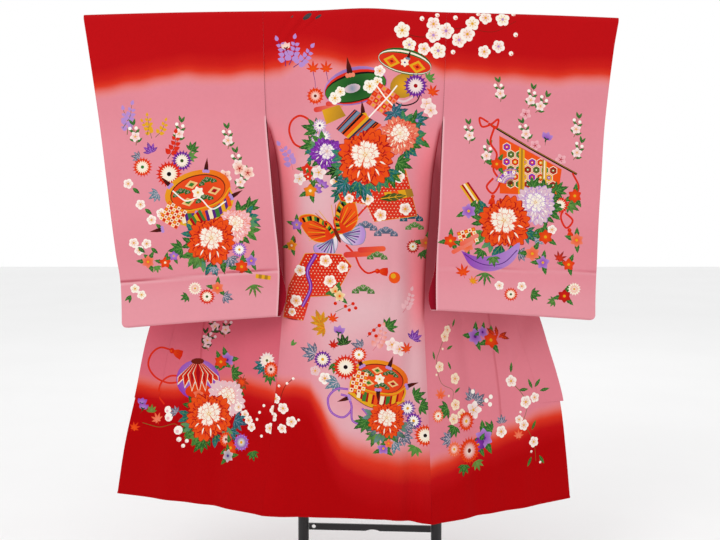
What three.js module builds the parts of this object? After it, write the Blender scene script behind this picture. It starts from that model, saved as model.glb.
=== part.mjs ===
import * as THREE from 'three';

// Baby ceremonial kimono hung over the rod of its display stand, seen from the garment's back.
// Millimetres, +Z up, the garment's back towards -Y. Left and right are as seen from the back.

// Cloth
const wall = 1.5;               // lined silk
const collarWall = 2.4;         // folded band
const seam = 0.3;               // gap between neighbouring pieces
const cornerSeam = 0.9;         // the same at the side seams, where two panels meet at an angle

// Cut of the garment
const garmentLength = 949;      // shoulder fold to hem at the left side seam
const rightSeamDrop = 16;       // how much lower the hem hangs at the right side seam
const frontHalfWidth = 165;     // half a loom width, side seam to overlap seam
const neckStart = 112.5;        // side seam to neck, along the shoulder
const collarWidth = 50;
const collarEnd = 0.79;         // share of the length where the collar ends
const collarFoot = 250;         // side seam to collar seam at the collar's end
const hemWidth = 315;           // side seam to front edge at the hem
const overlapTop = 0.36;        // share of the length where the overlap gore begins
const shoulderFlap = 28;        // how far the back panel reaches down the far side
const sideJoin = 0.316;         // share of the length where the side opening ends
const armholeEnd = 0.20;
const tieWidth = 24;
const tieLength = 520;
const tieHeight = 0.30;         // share of the length where a tie is sewn on
const tieClearance = 0.5;       // from the band that the tie is stitched on

// Stand
const crestHeight = 1116;       // top of the cloth above the floor
const rodDepth = -80;           // the rod's place along Y
const rodRadius = 10;
const rodHalf = 476;
const span = 489;               // crest to sleeve end
const rodTilt = 0.0054;         // the rod drops this much a millimetre towards the right
const rodSag = 9.5;             // and bends this much at its ends under the cloth
const foldRadius = rodRadius + seam + wall / 2;
const hemFoldRadius = 5;        // fold at the bottom of a sleeve

const silk = new THREE.MeshStandardMaterial({ color: 0xd9506a, roughness: 0.55, metalness: 0 });
const lining = new THREE.MeshStandardMaterial({ color: 0xe9b9bb, roughness: 0.6, metalness: 0 });
const steel = new THREE.MeshStandardMaterial({ color: 0x0c0c0d, roughness: 0.4, metalness: 0.3 });
const rubber = new THREE.MeshStandardMaterial({ color: 0x141414, roughness: 0.85, metalness: 0 });

// Side edges of the back panel by share of the length, and how far they curl away from the viewer.
const backEdges = [
  { v: 0.000, left: -161.0, right: 174.0, curl: 0 },
  { v: 0.200, left: -156.8, right: 168.5, curl: 0 },
  { v: 0.232, left: -149.5, right: 163.0, curl: 4 },
  { v: 0.266, left: -141.5, right: 157.5, curl: 13 },
  { v: 0.316, left: -136.0, right: 152.0, curl: 30 },
  { v: 0.392, left: -132.0, right: 147.5, curl: 48 },
  { v: 0.467, left: -130.5, right: 142.0, curl: 57 },
  { v: 0.540, left: -130.0, right: 139.0, curl: 58 },
  { v: 0.620, left: -134.0, right: 139.0, curl: 52 },
  { v: 0.800, left: -150.0, right: 147.0, curl: 32 },
  { v: 1.000, left: -172.0, right: 154.0, curl: 14 },
];

// The free front edge of each front in plan, and how far the section between bows away.
const leftLead = [
  { v: 0.03, x: 1.5, y: 11, bow: 0 },
  { v: 0.10, x: -48, y: 92, bow: 20 },
  { v: 0.20, x: -158, y: 136, bow: 42 },
  { v: 0.30, x: -246, y: 142, bow: 44 },
  { v: 0.45, x: -322, y: 134, bow: 30 },
  { v: 0.63, x: -394.5, y: 112, bow: 12 },
  { v: 0.79, x: -430, y: 112, bow: 14 },
  { v: 0.89, x: -451, y: 112, bow: 10 },
  { v: 1.00, x: -468, y: 112, bow: 8 },
];
const rightLead = [
  { v: 0.03, x: 11.5, y: 11, bow: 0 },
  { v: 0.10, x: 61, y: 92, bow: 20 },
  { v: 0.20, x: 169, y: 136, bow: 42 },
  { v: 0.30, x: 250, y: 142, bow: 44 },
  { v: 0.45, x: 316, y: 136, bow: 38 },
  { v: 0.62, x: 371, y: 114, bow: 32 },
  { v: 0.68, x: 389, y: 113, bow: 26 },
  { v: 0.73, x: 404, y: 112, bow: 22 },
  { v: 0.79, x: 418, y: 112, bow: 16 },
  { v: 0.89, x: 427, y: 112, bow: 10 },
  { v: 1.00, x: 435, y: 112, bow: 8 },
];

// Sleeve edges by share of the garment's length: body side and wrist side.
const leftSleeve = [
  { v: 0.000, inner: -161.0, outer: -489.0 },
  { v: 0.060, inner: -159.7, outer: -481.0 },
  { v: 0.200, inner: -156.8, outer: -463.5 },
  { v: 0.316, inner: -148.4, outer: -452.0 },
  { v: 0.392, inner: -142.5, outer: -445.0 },
  { v: 0.467, inner: -135.6, outer: -437.0 },
  { v: 0.515, inner: -134.2, outer: -430.6 },
  { v: 0.620, inner: -140.0, outer: -430.8 },
];
const rightSleeve = [
  { v: 0.000, inner: 174.0, outer: 489.0 },
  { v: 0.060, inner: 172.0, outer: 480.0 },
  { v: 0.200, inner: 168.5, outer: 466.0 },
  { v: 0.316, inner: 164.8, outer: 461.0 },
  { v: 0.392, inner: 162.4, outer: 458.0 },
  { v: 0.467, inner: 158.6, outer: 456.6 },
  { v: 0.540, inner: 157.8, outer: 456.2 },
  { v: 0.620, inner: 160.0, outer: 458.0 },
];
const sleeveDepth = { left: { inner: 563.6, outer: 580.5 }, right: { inner: 549.8, outer: 560 } };
const sleeveBillow = 3;
const sleeveCorner = 11;        // rounding of the lower wrist corner
const sleeveGape = { size: 14, at: 0.555, reach: 0.042 };   // the far layer stands out here

// Soft vertical folds of the back panel: place across, depth away from the viewer, width, start.
const backFolds = [
  { x: 111, depth: 9, width: 15, from: 0.38 },
  { x: -98, depth: 4, width: 24, from: 0.48 },
  { x: 20, depth: -3, width: 46, from: 0.30 },
];

// Folds of the fronts below the sleeves: place across as a share, depth, width and slant.
const frontFolds = [
  { at: 0.34, depth: 7, width: 0.07, slant: 0.10 },
  { at: 0.66, depth: -6, width: 0.09, slant: 0.16 },
];

const neckRise = { x: 30, width: 75, height: 5.6, reach: 30 };

// Posts, bars and feet
const posts = [{ name: 'left', x: -101 }, { name: 'right', x: 174 }];
const postDepth = 120;
const postRadius = 11;
const postTop = 1030;
const topBar = { height: 1006, radius: 9 };
const arm = { radius: 7, bend: 30 };
const stayBar = { left: 84.5, right: 78.5, height: 13.5, thickness: 5, hole: 4.2, holeInset: 20 };
const stayNotch = { at: 152, half: 15, depth: 3.2 };
const foot = { width: 24, height: 18, half: 192, round: 4 };
const cap = { length: 8, grow: 1.5 };

const mix = (a, b, t) => a + (b - a) * t;
const clamp = (t) => Math.min(Math.max(t, 0), 1);
const smooth = (t) => clamp(t) ** 2 * (3 - 2 * clamp(t));
const bell = (t) => Math.exp(-t * t);
const ramp = (from, to, count) => Array.from({ length: count + 1 }, (_, k) => mix(from, to, k / count));

// A column of a table at v, on a cubic through its rows.
function columnAt(table, column, v) {
  const last = table.length - 1;
  const at = Math.min(Math.max(v, table[0].v), table[last].v);
  let k = 0;
  while (k < last - 1 && at > table[k + 1].v) k += 1;
  const slope = (i) => {
    const before = table[Math.max(i - 1, 0)];
    const after = table[Math.min(i + 1, last)];
    return (after[column] - before[column]) / (after.v - before.v);
  };
  const width = table[k + 1].v - table[k].v;
  const t = (at - table[k].v) / width;
  const rise = table[k + 1][column] - table[k][column];
  const bend = (slope(k) * width - rise) * (1 - t) + (rise - slope(k + 1) * width) * t;
  return table[k][column] + t * rise + t * (1 - t) * bend;
}

// Height of the shoulder fold along the rod, from its own level at x = 0.
function crestLine(x) {
  return -rodTilt * x - rodSag * (x / span) ** 2;
}

// A sheet over the rod: s is the distance along it from the crest, positive on the near side.
function overRod(s) {
  const turn = Math.min(Math.abs(s) / foldRadius, Math.PI / 2);
  const drop = Math.max(Math.abs(s) - foldRadius * Math.PI / 2, 0);
  return { y: -Math.sign(s) * foldRadius * Math.sin(turn), z: -foldRadius * (1 - Math.cos(turn)) - drop };
}

// The collar bunches the cloth up a little at the back of the neck.
function neckHump(x, s) {
  const along = Math.max(0, 1 - Math.abs(s) / neckRise.reach);
  return neckRise.height * along * bell((x - neckRise.x) / neckRise.width);
}

// Back panel: u runs from -1 at the left side to 1 at the right, s along the cloth.
function backPoint(u, s) {
  const over = overRod(s);
  const v = -over.z / garmentLength;
  const left = columnAt(backEdges, 'left', v);
  const right = columnAt(backEdges, 'right', v);
  const x = mix(left, right, (u + 1) / 2);
  const drop = v * v * rightSeamDrop * Math.max(0, (u + 0.1) / 1.1) ** 2.2;
  let y = over.y + columnAt(backEdges, 'curl', v) * u ** 4;
  for (const fold of backFolds) {
    y += fold.depth * bell((x - fold.x) / fold.width) * smooth((v - fold.from) / 0.2);
  }
  return new THREE.Vector3(x, y, crestLine(x) + neckHump(x, s) + over.z - drop);
}

const sides = {
  left: { sign: -1, lead: leftLead, sleeve: leftSleeve, leadLength: 936, hemCurve: 0.8, step: 1.5 },
  right: { sign: 1, lead: rightLead, sleeve: rightSleeve, leadLength: 944, hemCurve: 1.6, step: 7 },
};

const frontTop = (shoulderFlap + seam) / garmentLength;
const collarStep = collarEnd + 0.001;

// Levels that the rows of the body's pieces share, so that their seams have the same corners.
const levels = [...ramp(frontTop, overlapTop, 14), ...ramp(overlapTop, collarEnd, 15).slice(1),
  ...ramp(collarStep, 1, 7)];

const collarShare = (v) => (v - frontTop) / (collarEnd - frontTop);
const collarSeamAt = (v) => mix(neckStart, collarFoot, clamp(collarShare(v)));
const fullWidthAt = (v) => (v < collarEnd ? collarSeamAt(v) + collarWidth
  : mix(collarFoot + collarWidth, hemWidth, (v - collarEnd) / (1 - collarEnd)));

// A front with its overlap and collar as one bowed section: p is the distance from the side seam.
function frontPoint(side, p, v) {
  const { sign, lead, leadLength, hemCurve } = sides[side];
  const open = 1 - smooth((v - armholeEnd) / (sideJoin - armholeEnd));
  const sideX = columnAt(backEdges, side, v);
  const sideY = mix(columnAt(backEdges, 'curl', v) - foldRadius, foldRadius, open);
  const chordX = columnAt(lead, 'x', v) - sideX;
  const chordY = columnAt(lead, 'y', v) - sideY;
  const chord = Math.hypot(chordX, chordY);
  const share = p / fullWidthAt(v);
  let bow = columnAt(lead, 'bow', v) * 4 * share * (1 - share);
  for (const fold of frontFolds) {
    const place = fold.at + fold.slant * (1 - v);
    bow += fold.depth * bell((share - place) / fold.width) * smooth((v - 0.5) / 0.2);
  }
  const x = sideX + chordX * share - sign * bow * chordY / chord;
  const y = sideY + chordY * share + sign * bow * chordX / chord;
  const seamLength = garmentLength + (side === 'right' ? rightSeamDrop : 0);
  const level = mix(crestLine(x), crestLine(sideX), smooth(v / 0.2));
  const length = mix(garmentLength, mix(seamLength, leadLength, Math.max(share, 0) ** hemCurve), v);
  return new THREE.Vector3(x, y, level - v * length);
}

// Collar: q runs across the band, and t along it, from the neck's middle (0) to its corner at
// frontTop and on by the share of the length to the collar's end; t is negative on the left.
function collarPoint(q, t) {
  const side = t < 0 ? 'left' : 'right';
  const v = Math.abs(t);
  const outward = (collarWall - wall) / 2;
  const corner = new THREE.Vector3(-sides[side].sign * 0.25, 0.5, -0.8).normalize();
  if (v < frontTop) {
    const neckLeft = columnAt(backEdges, 'left', frontTop) + neckStart + seam;
    const neckRight = columnAt(backEdges, 'right', frontTop) - neckStart - seam;
    const share = v / frontTop;
    const x = mix((neckLeft + neckRight) / 2, side === 'left' ? neckLeft : neckRight, share);
    const down = new THREE.Vector3(0, 0.05, -1).lerp(corner, smooth(share)).normalize();
    const top = crestLine(x) - shoulderFlap - seam;
    return new THREE.Vector3(x, foldRadius + outward, top).addScaledVector(down, q);
  }
  const turned = smooth((v - frontTop) / 0.09);
  const gap = mix(cornerSeam, 1.5 * seam, turned);
  const hanging = frontPoint(side, collarSeamAt(v) + gap, v).addScaledVector(corner, q);
  hanging.y += outward * (1 - turned);
  return hanging.lerp(frontPoint(side, collarSeamAt(v) + gap + q, v), turned);
}

// One half of a sleeve: u from the body to the wrist; t is 0 to 1 over the rod, 1 to 2 down, 2 to 3 under.
function sleevePoint(side, half, u, t) {
  const { sign, sleeve } = sides[side];
  const bottom = mix(sleeveDepth[side].inner, sleeveDepth[side].outer, u);
  const top = clamp(t) * Math.PI / 2;
  const down = clamp(t - 1);
  const under = clamp(t - 2) * Math.PI / 2;
  const low = bottom - hemFoldRadius;
  const z = -foldRadius * (1 - Math.cos(top)) - down * (low - foldRadius) - hemFoldRadius * Math.sin(under);
  const straight = mix(foldRadius, hemFoldRadius, smooth((down - 0.75) / 0.25))
    + sleeveBillow * Math.sin(Math.PI * down);
  const y = t < 1 ? foldRadius * Math.sin(top) : straight * Math.cos(under);
  const v = -z / garmentLength;
  const left = Math.max(0, sleeveCorner - (bottom + z));
  const inset = sleeveCorner - Math.sqrt(Math.max(sleeveCorner ** 2 - left ** 2, 0));
  const gap = half < 0 ? seam : 2 * seam;
  const gape = half < 0 ? 0 : sleeveGape.size * bell((v - sleeveGape.at) / sleeveGape.reach);
  const seamX = v < armholeEnd ? columnAt(backEdges, side, v) : columnAt(sleeve, 'inner', v);
  const inner = seamX + sign * (gap - gape * (1 - u) ** 3);
  const outer = columnAt(sleeve, 'outer', v) - sign * inset;
  const x = mix(inner, outer, u);
  return new THREE.Vector3(x, half * y, crestLine(x) + z);
}

// A closed wall of cloth on point(a, b). Each row is { b, from, to } with a from "from" to "to".
function clothWall(point, rows, columns, thickness, stepA, stepB) {
  const positions = [];
  const faces = [];
  for (const half of [thickness / 2, -thickness / 2]) {
    for (const { b, from, to } of rows) {
      for (const a of ramp(from, to, columns)) {
        const alongA = point(a + stepA, b).sub(point(a - stepA, b));
        const alongB = point(a, b + stepB).sub(point(a, b - stepB));
        const normal = alongA.cross(alongB).normalize();
        positions.push(...point(a, b).addScaledVector(normal, half));
      }
    }
  }
  const across = columns + 1;
  const layer = rows.length * across;
  const quad = (a, b, c, d) => faces.push(a, b, c, a, c, d);
  for (let r = 0; r < rows.length - 1; r++) {
    for (let c = 0; c < columns; c++) {
      const k = r * across + c;
      quad(k, k + 1, k + across + 1, k + across);
      quad(layer + k, layer + k + across, layer + k + across + 1, layer + k + 1);
    }
    const start = r * across;
    const end = start + columns;
    quad(start, start + across, layer + start + across, layer + start);
    quad(end, layer + end, layer + end + across, end + across);
  }
  for (let c = 0; c < columns; c++) {
    const foot = (rows.length - 1) * across + c;
    quad(c, layer + c, layer + c + 1, c + 1);
    quad(foot, foot + 1, layer + foot + 1, layer + foot);
  }
  const geometry = new THREE.BufferGeometry();
  geometry.setAttribute('position', new THREE.Float32BufferAttribute(positions, 3));
  geometry.setIndex(volumeOf(positions, faces) < 0 ? faces.reverse() : faces);
  geometry.computeVertexNormals();
  return geometry;
}

// Six times the volume inside a closed list of triangles, negative if they face inwards.
function volumeOf(positions, faces) {
  const corner = (i) => new THREE.Vector3().fromArray(positions, 3 * i);
  let sum = 0;
  for (let k = 0; k < faces.length; k += 3) {
    sum += corner(faces[k]).dot(corner(faces[k + 1]).cross(corner(faces[k + 2])));
  }
  return sum;
}

function piece(name, geometry, material) {
  const mesh = new THREE.Mesh(geometry, material);
  mesh.name = name;
  return mesh;
}

function backPanel() {
  const quarter = foldRadius * Math.PI / 2;
  const lengths = [-quarter - (shoulderFlap - foldRadius), ...ramp(-quarter, quarter, 8),
    ...levels.map((v) => quarter + v * garmentLength - foldRadius)];
  const rows = lengths.map((b) => ({ b, from: -1, to: 1 }));
  return piece('back_panel', clothWall(backPoint, rows, 22, wall, 0.004, 0.5), silk);
}

function front(side) {
  const rows = levels.map((b) => ({
    b, from: cornerSeam * smooth((b - armholeEnd) / 0.05),
    to: Math.min(collarSeamAt(b), frontHalfWidth) }));
  const point = (p, v) => frontPoint(side, p, v);
  return piece(`front_${side}`, clothWall(point, rows, 10, wall, 0.5, 0.0005), silk);
}

function overlap(side) {
  const start = frontHalfWidth + seam;
  const reach = (v) => (v < collarStep ? collarSeamAt(v)
    : fullWidthAt(v) - sides[side].step * (1 - (v - collarEnd) / (1 - collarEnd)));
  const rows = levels.filter((v) => v >= overlapTop).map((b) => ({ b, from: start, to: reach(b) }));
  const point = (p, v) => frontPoint(side, p, v);
  return piece(`okumi_${side}`, clothWall(point, rows, 8, wall, 0.5, 0.0005), silk);
}

function collar() {
  const half = [...ramp(0, frontTop, 4).slice(1, -1), ...levels.filter((v) => v <= collarEnd)];
  const stations = [...half.toReversed().map((t) => -t), 0, ...half];
  const rows = stations.map((b) => ({ b, from: 0, to: collarWidth }));
  return piece('collar', clothWall(collarPoint, rows, 4, collarWall, 0.5, 0.0005), silk);
}

function sleeveHalf(side, half) {
  const start = seam / 2 / (foldRadius * Math.PI / 2);
  const end = 3 - seam / 2 / (hemFoldRadius * Math.PI / 2);
  const stations = [...ramp(start, 1, 4), ...ramp(1, 2, 17).slice(1), ...ramp(2, end, 3).slice(1)];
  const rows = stations.map((b) => ({ b, from: 0, to: 1 }));
  const point = (u, t) => sleevePoint(side, half, u, t);
  const name = `sleeve_${side}_${half < 0 ? 'back' : 'front'}`;
  return piece(name, clothWall(point, rows, 9, wall, 0.004, 0.002), half < 0 ? silk : lining);
}

// A tie is stitched flat on the collar band and hangs straight down behind the front.
function tie(side) {
  const { sign } = sides[side];
  const anchor = frontPoint(side, fullWidthAt(tieHeight) - tieWidth, tieHeight);
  const clear = anchor.y + collarWall / 2 + wall / 2 + tieClearance;
  const swing = (b) => 9 * smooth(b / 90) + 2 * Math.sin(b / 55);
  const point = (a, b) => new THREE.Vector3(anchor.x - sign * a, clear + swing(b), anchor.z - b);
  const rows = ramp(0, tieLength, 16).map((b) => ({ b, from: 0, to: tieWidth }));
  return piece(`tie_${side}`, clothWall(point, rows, 2, wall, 0.5, 0.5), silk);
}

// A round bar along a curve. A whole circle takes two sides for each curve segment.
function tubeAlong(curve, radius, steps, sidesRound) {
  const ring = new THREE.Shape();
  ring.absarc(0, 0, radius, 0, Math.PI * 2);
  return new THREE.ExtrudeGeometry(ring, { extrudePath: curve, steps, curveSegments: sidesRound / 2 });
}

function rod() {
  const level = (x) => crestHeight - foldRadius + crestLine(x);
  const middle = 2 * level(0) - (level(-rodHalf) + level(rodHalf)) / 2;
  const curve = new THREE.QuadraticBezierCurve3(
    new THREE.Vector3(-rodHalf, rodDepth, level(-rodHalf)), new THREE.Vector3(0, rodDepth, middle),
    new THREE.Vector3(rodHalf, rodDepth, level(rodHalf)));
  return piece('rod', tubeAlong(curve, rodRadius, 12, 20), steel);
}

// The arm leaves the top bar, comes forward through the neck and turns up under the rod.
function armPiece() {
  const x = (posts[0].x + posts[1].x) / 2;
  const top = crestHeight - foldRadius + crestLine(x) - rodRadius - 2 * seam;
  const back = postDepth - topBar.radius - seam;
  const path = new THREE.CurvePath();
  path.add(new THREE.LineCurve3(new THREE.Vector3(x, back, topBar.height),
    new THREE.Vector3(x, rodDepth + arm.bend, topBar.height)));
  path.add(new THREE.QuadraticBezierCurve3(new THREE.Vector3(x, rodDepth + arm.bend, topBar.height),
    new THREE.Vector3(x, rodDepth, topBar.height), new THREE.Vector3(x, rodDepth, topBar.height + arm.bend)));
  path.add(new THREE.LineCurve3(new THREE.Vector3(x, rodDepth, topBar.height + arm.bend),
    new THREE.Vector3(x, rodDepth, top)));
  return piece('arm', tubeAlong(path, arm.radius, 24, 12), steel);
}

function postPiece({ name, x }) {
  const bottom = foot.height + seam;
  const mesh = piece(`post_${name}`, new THREE.CylinderGeometry(postRadius, postRadius, postTop - bottom, 28), steel);
  mesh.rotation.x = Math.PI / 2;
  mesh.position.set(x, postDepth, (postTop + bottom) / 2);
  return mesh;
}

function topBarPiece() {
  const length = posts[1].x - posts[0].x - 2 * (postRadius + seam);
  const mesh = piece('top_bar', new THREE.CylinderGeometry(topBar.radius, topBar.radius, length, 24), steel);
  mesh.rotation.z = Math.PI / 2;
  mesh.position.set((posts[0].x + posts[1].x) / 2, postDepth, topBar.height);
  return mesh;
}

// Flat bar between the posts, with its screw hole near the left end and a shallow notch below.
function stayBarPiece() {
  const start = posts[0].x + postRadius + seam;
  const end = posts[1].x - postRadius - seam;
  const { left, right, height, thickness, hole, holeInset } = stayBar;
  const level = (x) => mix(left, right, (x - start) / (end - start));
  const outline = new THREE.Shape();
  outline.moveTo(start, left - height / 2);
  const notchFrom = start + stayNotch.at - stayNotch.half - holeInset;
  for (const k of ramp(0, 1, 6)) {
    const x = notchFrom + 2 * stayNotch.half * k;
    outline.lineTo(x, level(x) - height / 2 + stayNotch.depth * Math.sin(Math.PI * k));
  }
  outline.lineTo(end, right - height / 2);
  outline.lineTo(end, right + height / 2);
  outline.lineTo(start, left + height / 2);
  const bore = new THREE.Path();
  bore.absarc(start + holeInset / 2, level(start + holeInset / 2), hole, 0, Math.PI * 2);
  outline.holes.push(bore);
  const geometry = new THREE.ExtrudeGeometry(outline, { depth: thickness, bevelEnabled: false, curveSegments: 16 });
  const mesh = piece('stay_bar', geometry, steel);
  mesh.rotation.x = Math.PI / 2;
  mesh.position.y = postDepth + thickness / 2;
  return mesh;
}

// Outline of a foot seen from its end, rounded at the top and flat below.
function footOutline(width, height) {
  const half = width / 2;
  const outline = new THREE.Shape();
  outline.moveTo(-half, 0);
  outline.lineTo(half, 0);
  outline.lineTo(half, height - foot.round);
  outline.absarc(half - foot.round, height - foot.round, foot.round, 0, Math.PI / 2);
  outline.absarc(-half + foot.round, height - foot.round, foot.round, Math.PI / 2, Math.PI);
  return outline;
}

function footPieces({ name, x }) {
  const lying = (label, width, height, from, to, material) => {
    const options = { depth: to - from, bevelEnabled: false, curveSegments: 4 };
    const mesh = piece(label, new THREE.ExtrudeGeometry(footOutline(width, height), options), material);
    mesh.rotation.x = Math.PI / 2;
    mesh.position.set(x, to, 0);
    return mesh;
  };
  const out = foot.half + cap.length;
  const capWidth = foot.width + 2 * cap.grow;
  const capHeight = foot.height + cap.grow;
  return [
    lying(`foot_${name}`, foot.width, foot.height, -foot.half, foot.half, steel),
    lying(`cap_${name}_back`, capWidth, capHeight, -out, -foot.half - seam, rubber),
    lying(`cap_${name}_front`, capWidth, capHeight, foot.half + seam, out, rubber),
  ];
}

const garment = new THREE.Group();
garment.position.set(0, rodDepth, crestHeight);
garment.add(backPanel(), collar());
for (const side of ['left', 'right']) {
  garment.add(front(side), overlap(side), sleeveHalf(side, -1), sleeveHalf(side, 1), tie(side));
}

const stand = new THREE.Group();
stand.add(rod(), armPiece(), topBarPiece(), stayBarPiece());
for (const post of posts) stand.add(postPiece(post), ...footPieces(post));

const kimono = new THREE.Group();
kimono.add(garment, stand);

export default kimono;
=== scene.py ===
import math

import bpy
import numpy as np
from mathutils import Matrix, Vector
from mathutils.geometry import delaunay_2d_cdt


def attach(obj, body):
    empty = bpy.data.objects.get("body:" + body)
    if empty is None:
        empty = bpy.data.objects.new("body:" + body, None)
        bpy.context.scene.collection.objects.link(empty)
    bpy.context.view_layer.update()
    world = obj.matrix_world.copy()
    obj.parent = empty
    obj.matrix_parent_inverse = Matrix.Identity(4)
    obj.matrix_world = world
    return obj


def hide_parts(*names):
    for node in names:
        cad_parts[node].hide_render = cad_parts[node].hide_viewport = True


# Baby ceremonial kimono hung over the rod of its stand, seen from the garment's back.
# Shapes are worked out in millimetres from the rod line, z up, the garment's back towards -y.
# A panel's own plane is (a, b): a across, b down the cloth from the shoulder fold.

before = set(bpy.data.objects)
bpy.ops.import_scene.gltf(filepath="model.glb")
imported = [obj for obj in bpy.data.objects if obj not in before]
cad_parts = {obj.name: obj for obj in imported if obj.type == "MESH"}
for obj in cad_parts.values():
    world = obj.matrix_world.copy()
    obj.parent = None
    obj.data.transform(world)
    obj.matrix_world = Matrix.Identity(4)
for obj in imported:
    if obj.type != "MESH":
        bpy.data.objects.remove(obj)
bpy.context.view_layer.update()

MM = 0.001
ROD_Y = -80.0
CREST = 1116.0

# Cloth
WALL = 1.5
COLLAR_WALL = 2.4
SEAM = 0.3
SEWN = 0.05   # gap left between two pieces along a sewn seam
LENGTH = 949.0
RIGHT_DROP = 16.0
HALF_WIDTH = 165.0
NECK_START = 112.5
COLLAR_WIDTH = 50.0
COLLAR_END = 0.79
COLLAR_FOOT = 250.0
HEM_WIDTH = 315.0
OVERLAP_TOP = 0.36
SHOULDER_FLAP = 28.0
SIDE_JOIN = 0.316
ARMHOLE_END = 0.20
TIE_WIDTH = 24.0
TIE_LENGTH = 520.0
TIE_HEIGHT = 0.30
TIE_CLEARANCE = 0.5

# Stand
ROD_RADIUS = 10.0
SPAN = 489.0
ROD_TILT = 0.0054
ROD_SAG = 9.5
FOLD_RADIUS = ROD_RADIUS + SEAM + WALL / 2
HEM_FOLD_RADIUS = 5.0
QUARTER = FOLD_RADIUS * math.pi / 2


def table(names, *rows):
    """A table of named columns."""
    return {name: np.array([row[k] for row in rows], float) for k, name in enumerate(names.split())}


def rows_of(columns):
    """The rows of a table, each as names with their values."""
    return [dict(zip(columns, values)) for values in zip(*columns.values())]


# v is the share of the length; the rest are places and depths in millimetres
BACK_EDGES = table("v left right curl",
                   (0.000, -161.0, 174.0, 0), (0.200, -156.8, 168.5, 0), (0.232, -149.5, 163.0, 4),
                   (0.266, -141.5, 157.5, 13), (0.316, -136.0, 152.0, 30), (0.392, -132.0, 147.5, 48),
                   (0.467, -130.5, 142.0, 57), (0.540, -130.0, 139.0, 58), (0.620, -134.0, 139.0, 52),
                   (0.800, -150.0, 147.0, 32), (1.000, -172.0, 154.0, 14))
LEFT_LEAD = table("v x y bow",
                  (0.03, 1.5, 11, 0), (0.10, -48, 92, 20), (0.20, -158, 136, 42), (0.30, -246, 142, 44),
                  (0.45, -322, 134, 30), (0.63, -394.5, 112, 12), (0.79, -430, 112, 14),
                  (0.89, -451, 112, 10), (1.00, -468, 112, 8))
RIGHT_LEAD = table("v x y bow",
                   (0.03, 11.5, 11, 0), (0.10, 61, 92, 20), (0.20, 169, 136, 42), (0.30, 250, 142, 44),
                   (0.45, 316, 136, 38), (0.62, 371, 114, 32), (0.68, 389, 113, 26), (0.73, 404, 112, 22),
                   (0.79, 418, 112, 16), (0.89, 427, 112, 10), (1.00, 435, 112, 8))
LEFT_SLEEVE = table("v inner outer",
                    (0.000, -161.0, -489.0), (0.060, -159.7, -481.0), (0.200, -156.8, -463.5),
                    (0.316, -148.4, -452.0), (0.392, -142.5, -445.0), (0.467, -135.6, -437.0),
                    (0.515, -134.2, -430.6), (0.620, -140.0, -430.8))
RIGHT_SLEEVE = table("v inner outer",
                     (0.000, 174.0, 489.0), (0.060, 172.0, 480.0), (0.200, 168.5, 466.0),
                     (0.316, 164.8, 461.0), (0.392, 162.4, 458.0), (0.467, 158.6, 456.6),
                     (0.540, 157.8, 456.2), (0.620, 160.0, 458.0))
SLEEVE_DEPTH = {"left": (563.6, 580.5), "right": (549.8, 560.0)}
SLEEVE_BILLOW = 3.0
SLEEVE_CORNER = 11.0
GAPE_SIZE, GAPE_AT, GAPE_REACH = 14.0, 0.555, 0.042
BACK_FOLDS = table("x depth width start", (111, 9, 15, 0.38), (-98, 4, 24, 0.48), (20, -3, 46, 0.30))
FRONT_FOLDS = table("at depth width slant", (0.34, 7, 0.07, 0.10), (0.66, -6, 0.09, 0.16))
NECK_RISE = {"x": 30, "width": 75, "height": 5.6, "reach": 30}
SIDES = {
    "left": dict(sign=-1, lead=LEFT_LEAD, sleeve=LEFT_SLEEVE, lead_length=936, curve=0.8, step=1.5),
    "right": dict(sign=1, lead=RIGHT_LEAD, sleeve=RIGHT_SLEEVE, lead_length=944, curve=1.6, step=7)}
FRONT_TOP = (SHOULDER_FLAP + SEAM) / LENGTH


def mix(a, b, t):
    """The value at share t of the way from a to b."""
    return a + (b - a) * t


def smooth(t):
    """Smooth step from 0 to 1: three t squared less two t cubed, with t held between 0 and 1."""
    t = np.clip(t, 0, 1)
    return t * t * (3 - 2 * t)


def bell(t):
    """Bell curve: e to the power of minus t squared."""
    return np.exp(-np.square(t))


def column_at(rows, column, v):
    """The column's value at share v of the length, on a cubic through the table's rows."""
    place, value = rows["v"], rows[column]
    last = len(place) - 1
    at = np.clip(v, place[0], place[last])
    k = np.clip(np.searchsorted(place, at, side="left") - 1, 0, last - 1)
    index = np.arange(last + 1)
    before, after = np.maximum(index - 1, 0), np.minimum(index + 1, last)
    slope = (value[after] - value[before]) / (place[after] - place[before])
    width = place[k + 1] - place[k]
    t = (at - place[k]) / width
    rise = value[k + 1] - value[k]
    bend = (slope[k] * width - rise) * (1 - t) + (rise - slope[k + 1] * width) * t
    return value[k] + t * rise + t * (1 - t) * bend


def crest_line(x):
    """Height of the shoulder fold along the rod: it tilts and sags as a parabola."""
    return -ROD_TILT * x - ROD_SAG * (x / SPAN) ** 2


def over_rod(s):
    """Depth y and height z of a sheet over the rod, at distance s along it from the crest."""
    turn = np.minimum(np.abs(s) / FOLD_RADIUS, math.pi / 2)
    drop = np.maximum(np.abs(s) - QUARTER, 0)
    return -np.sign(s) * FOLD_RADIUS * np.sin(turn), -FOLD_RADIUS * (1 - np.cos(turn)) - drop


def back_edge(side, s):
    """Place across of the back panel's side edge at distance s along the cloth."""
    return column_at(BACK_EDGES, side, -over_rod(s)[1] / LENGTH)


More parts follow.
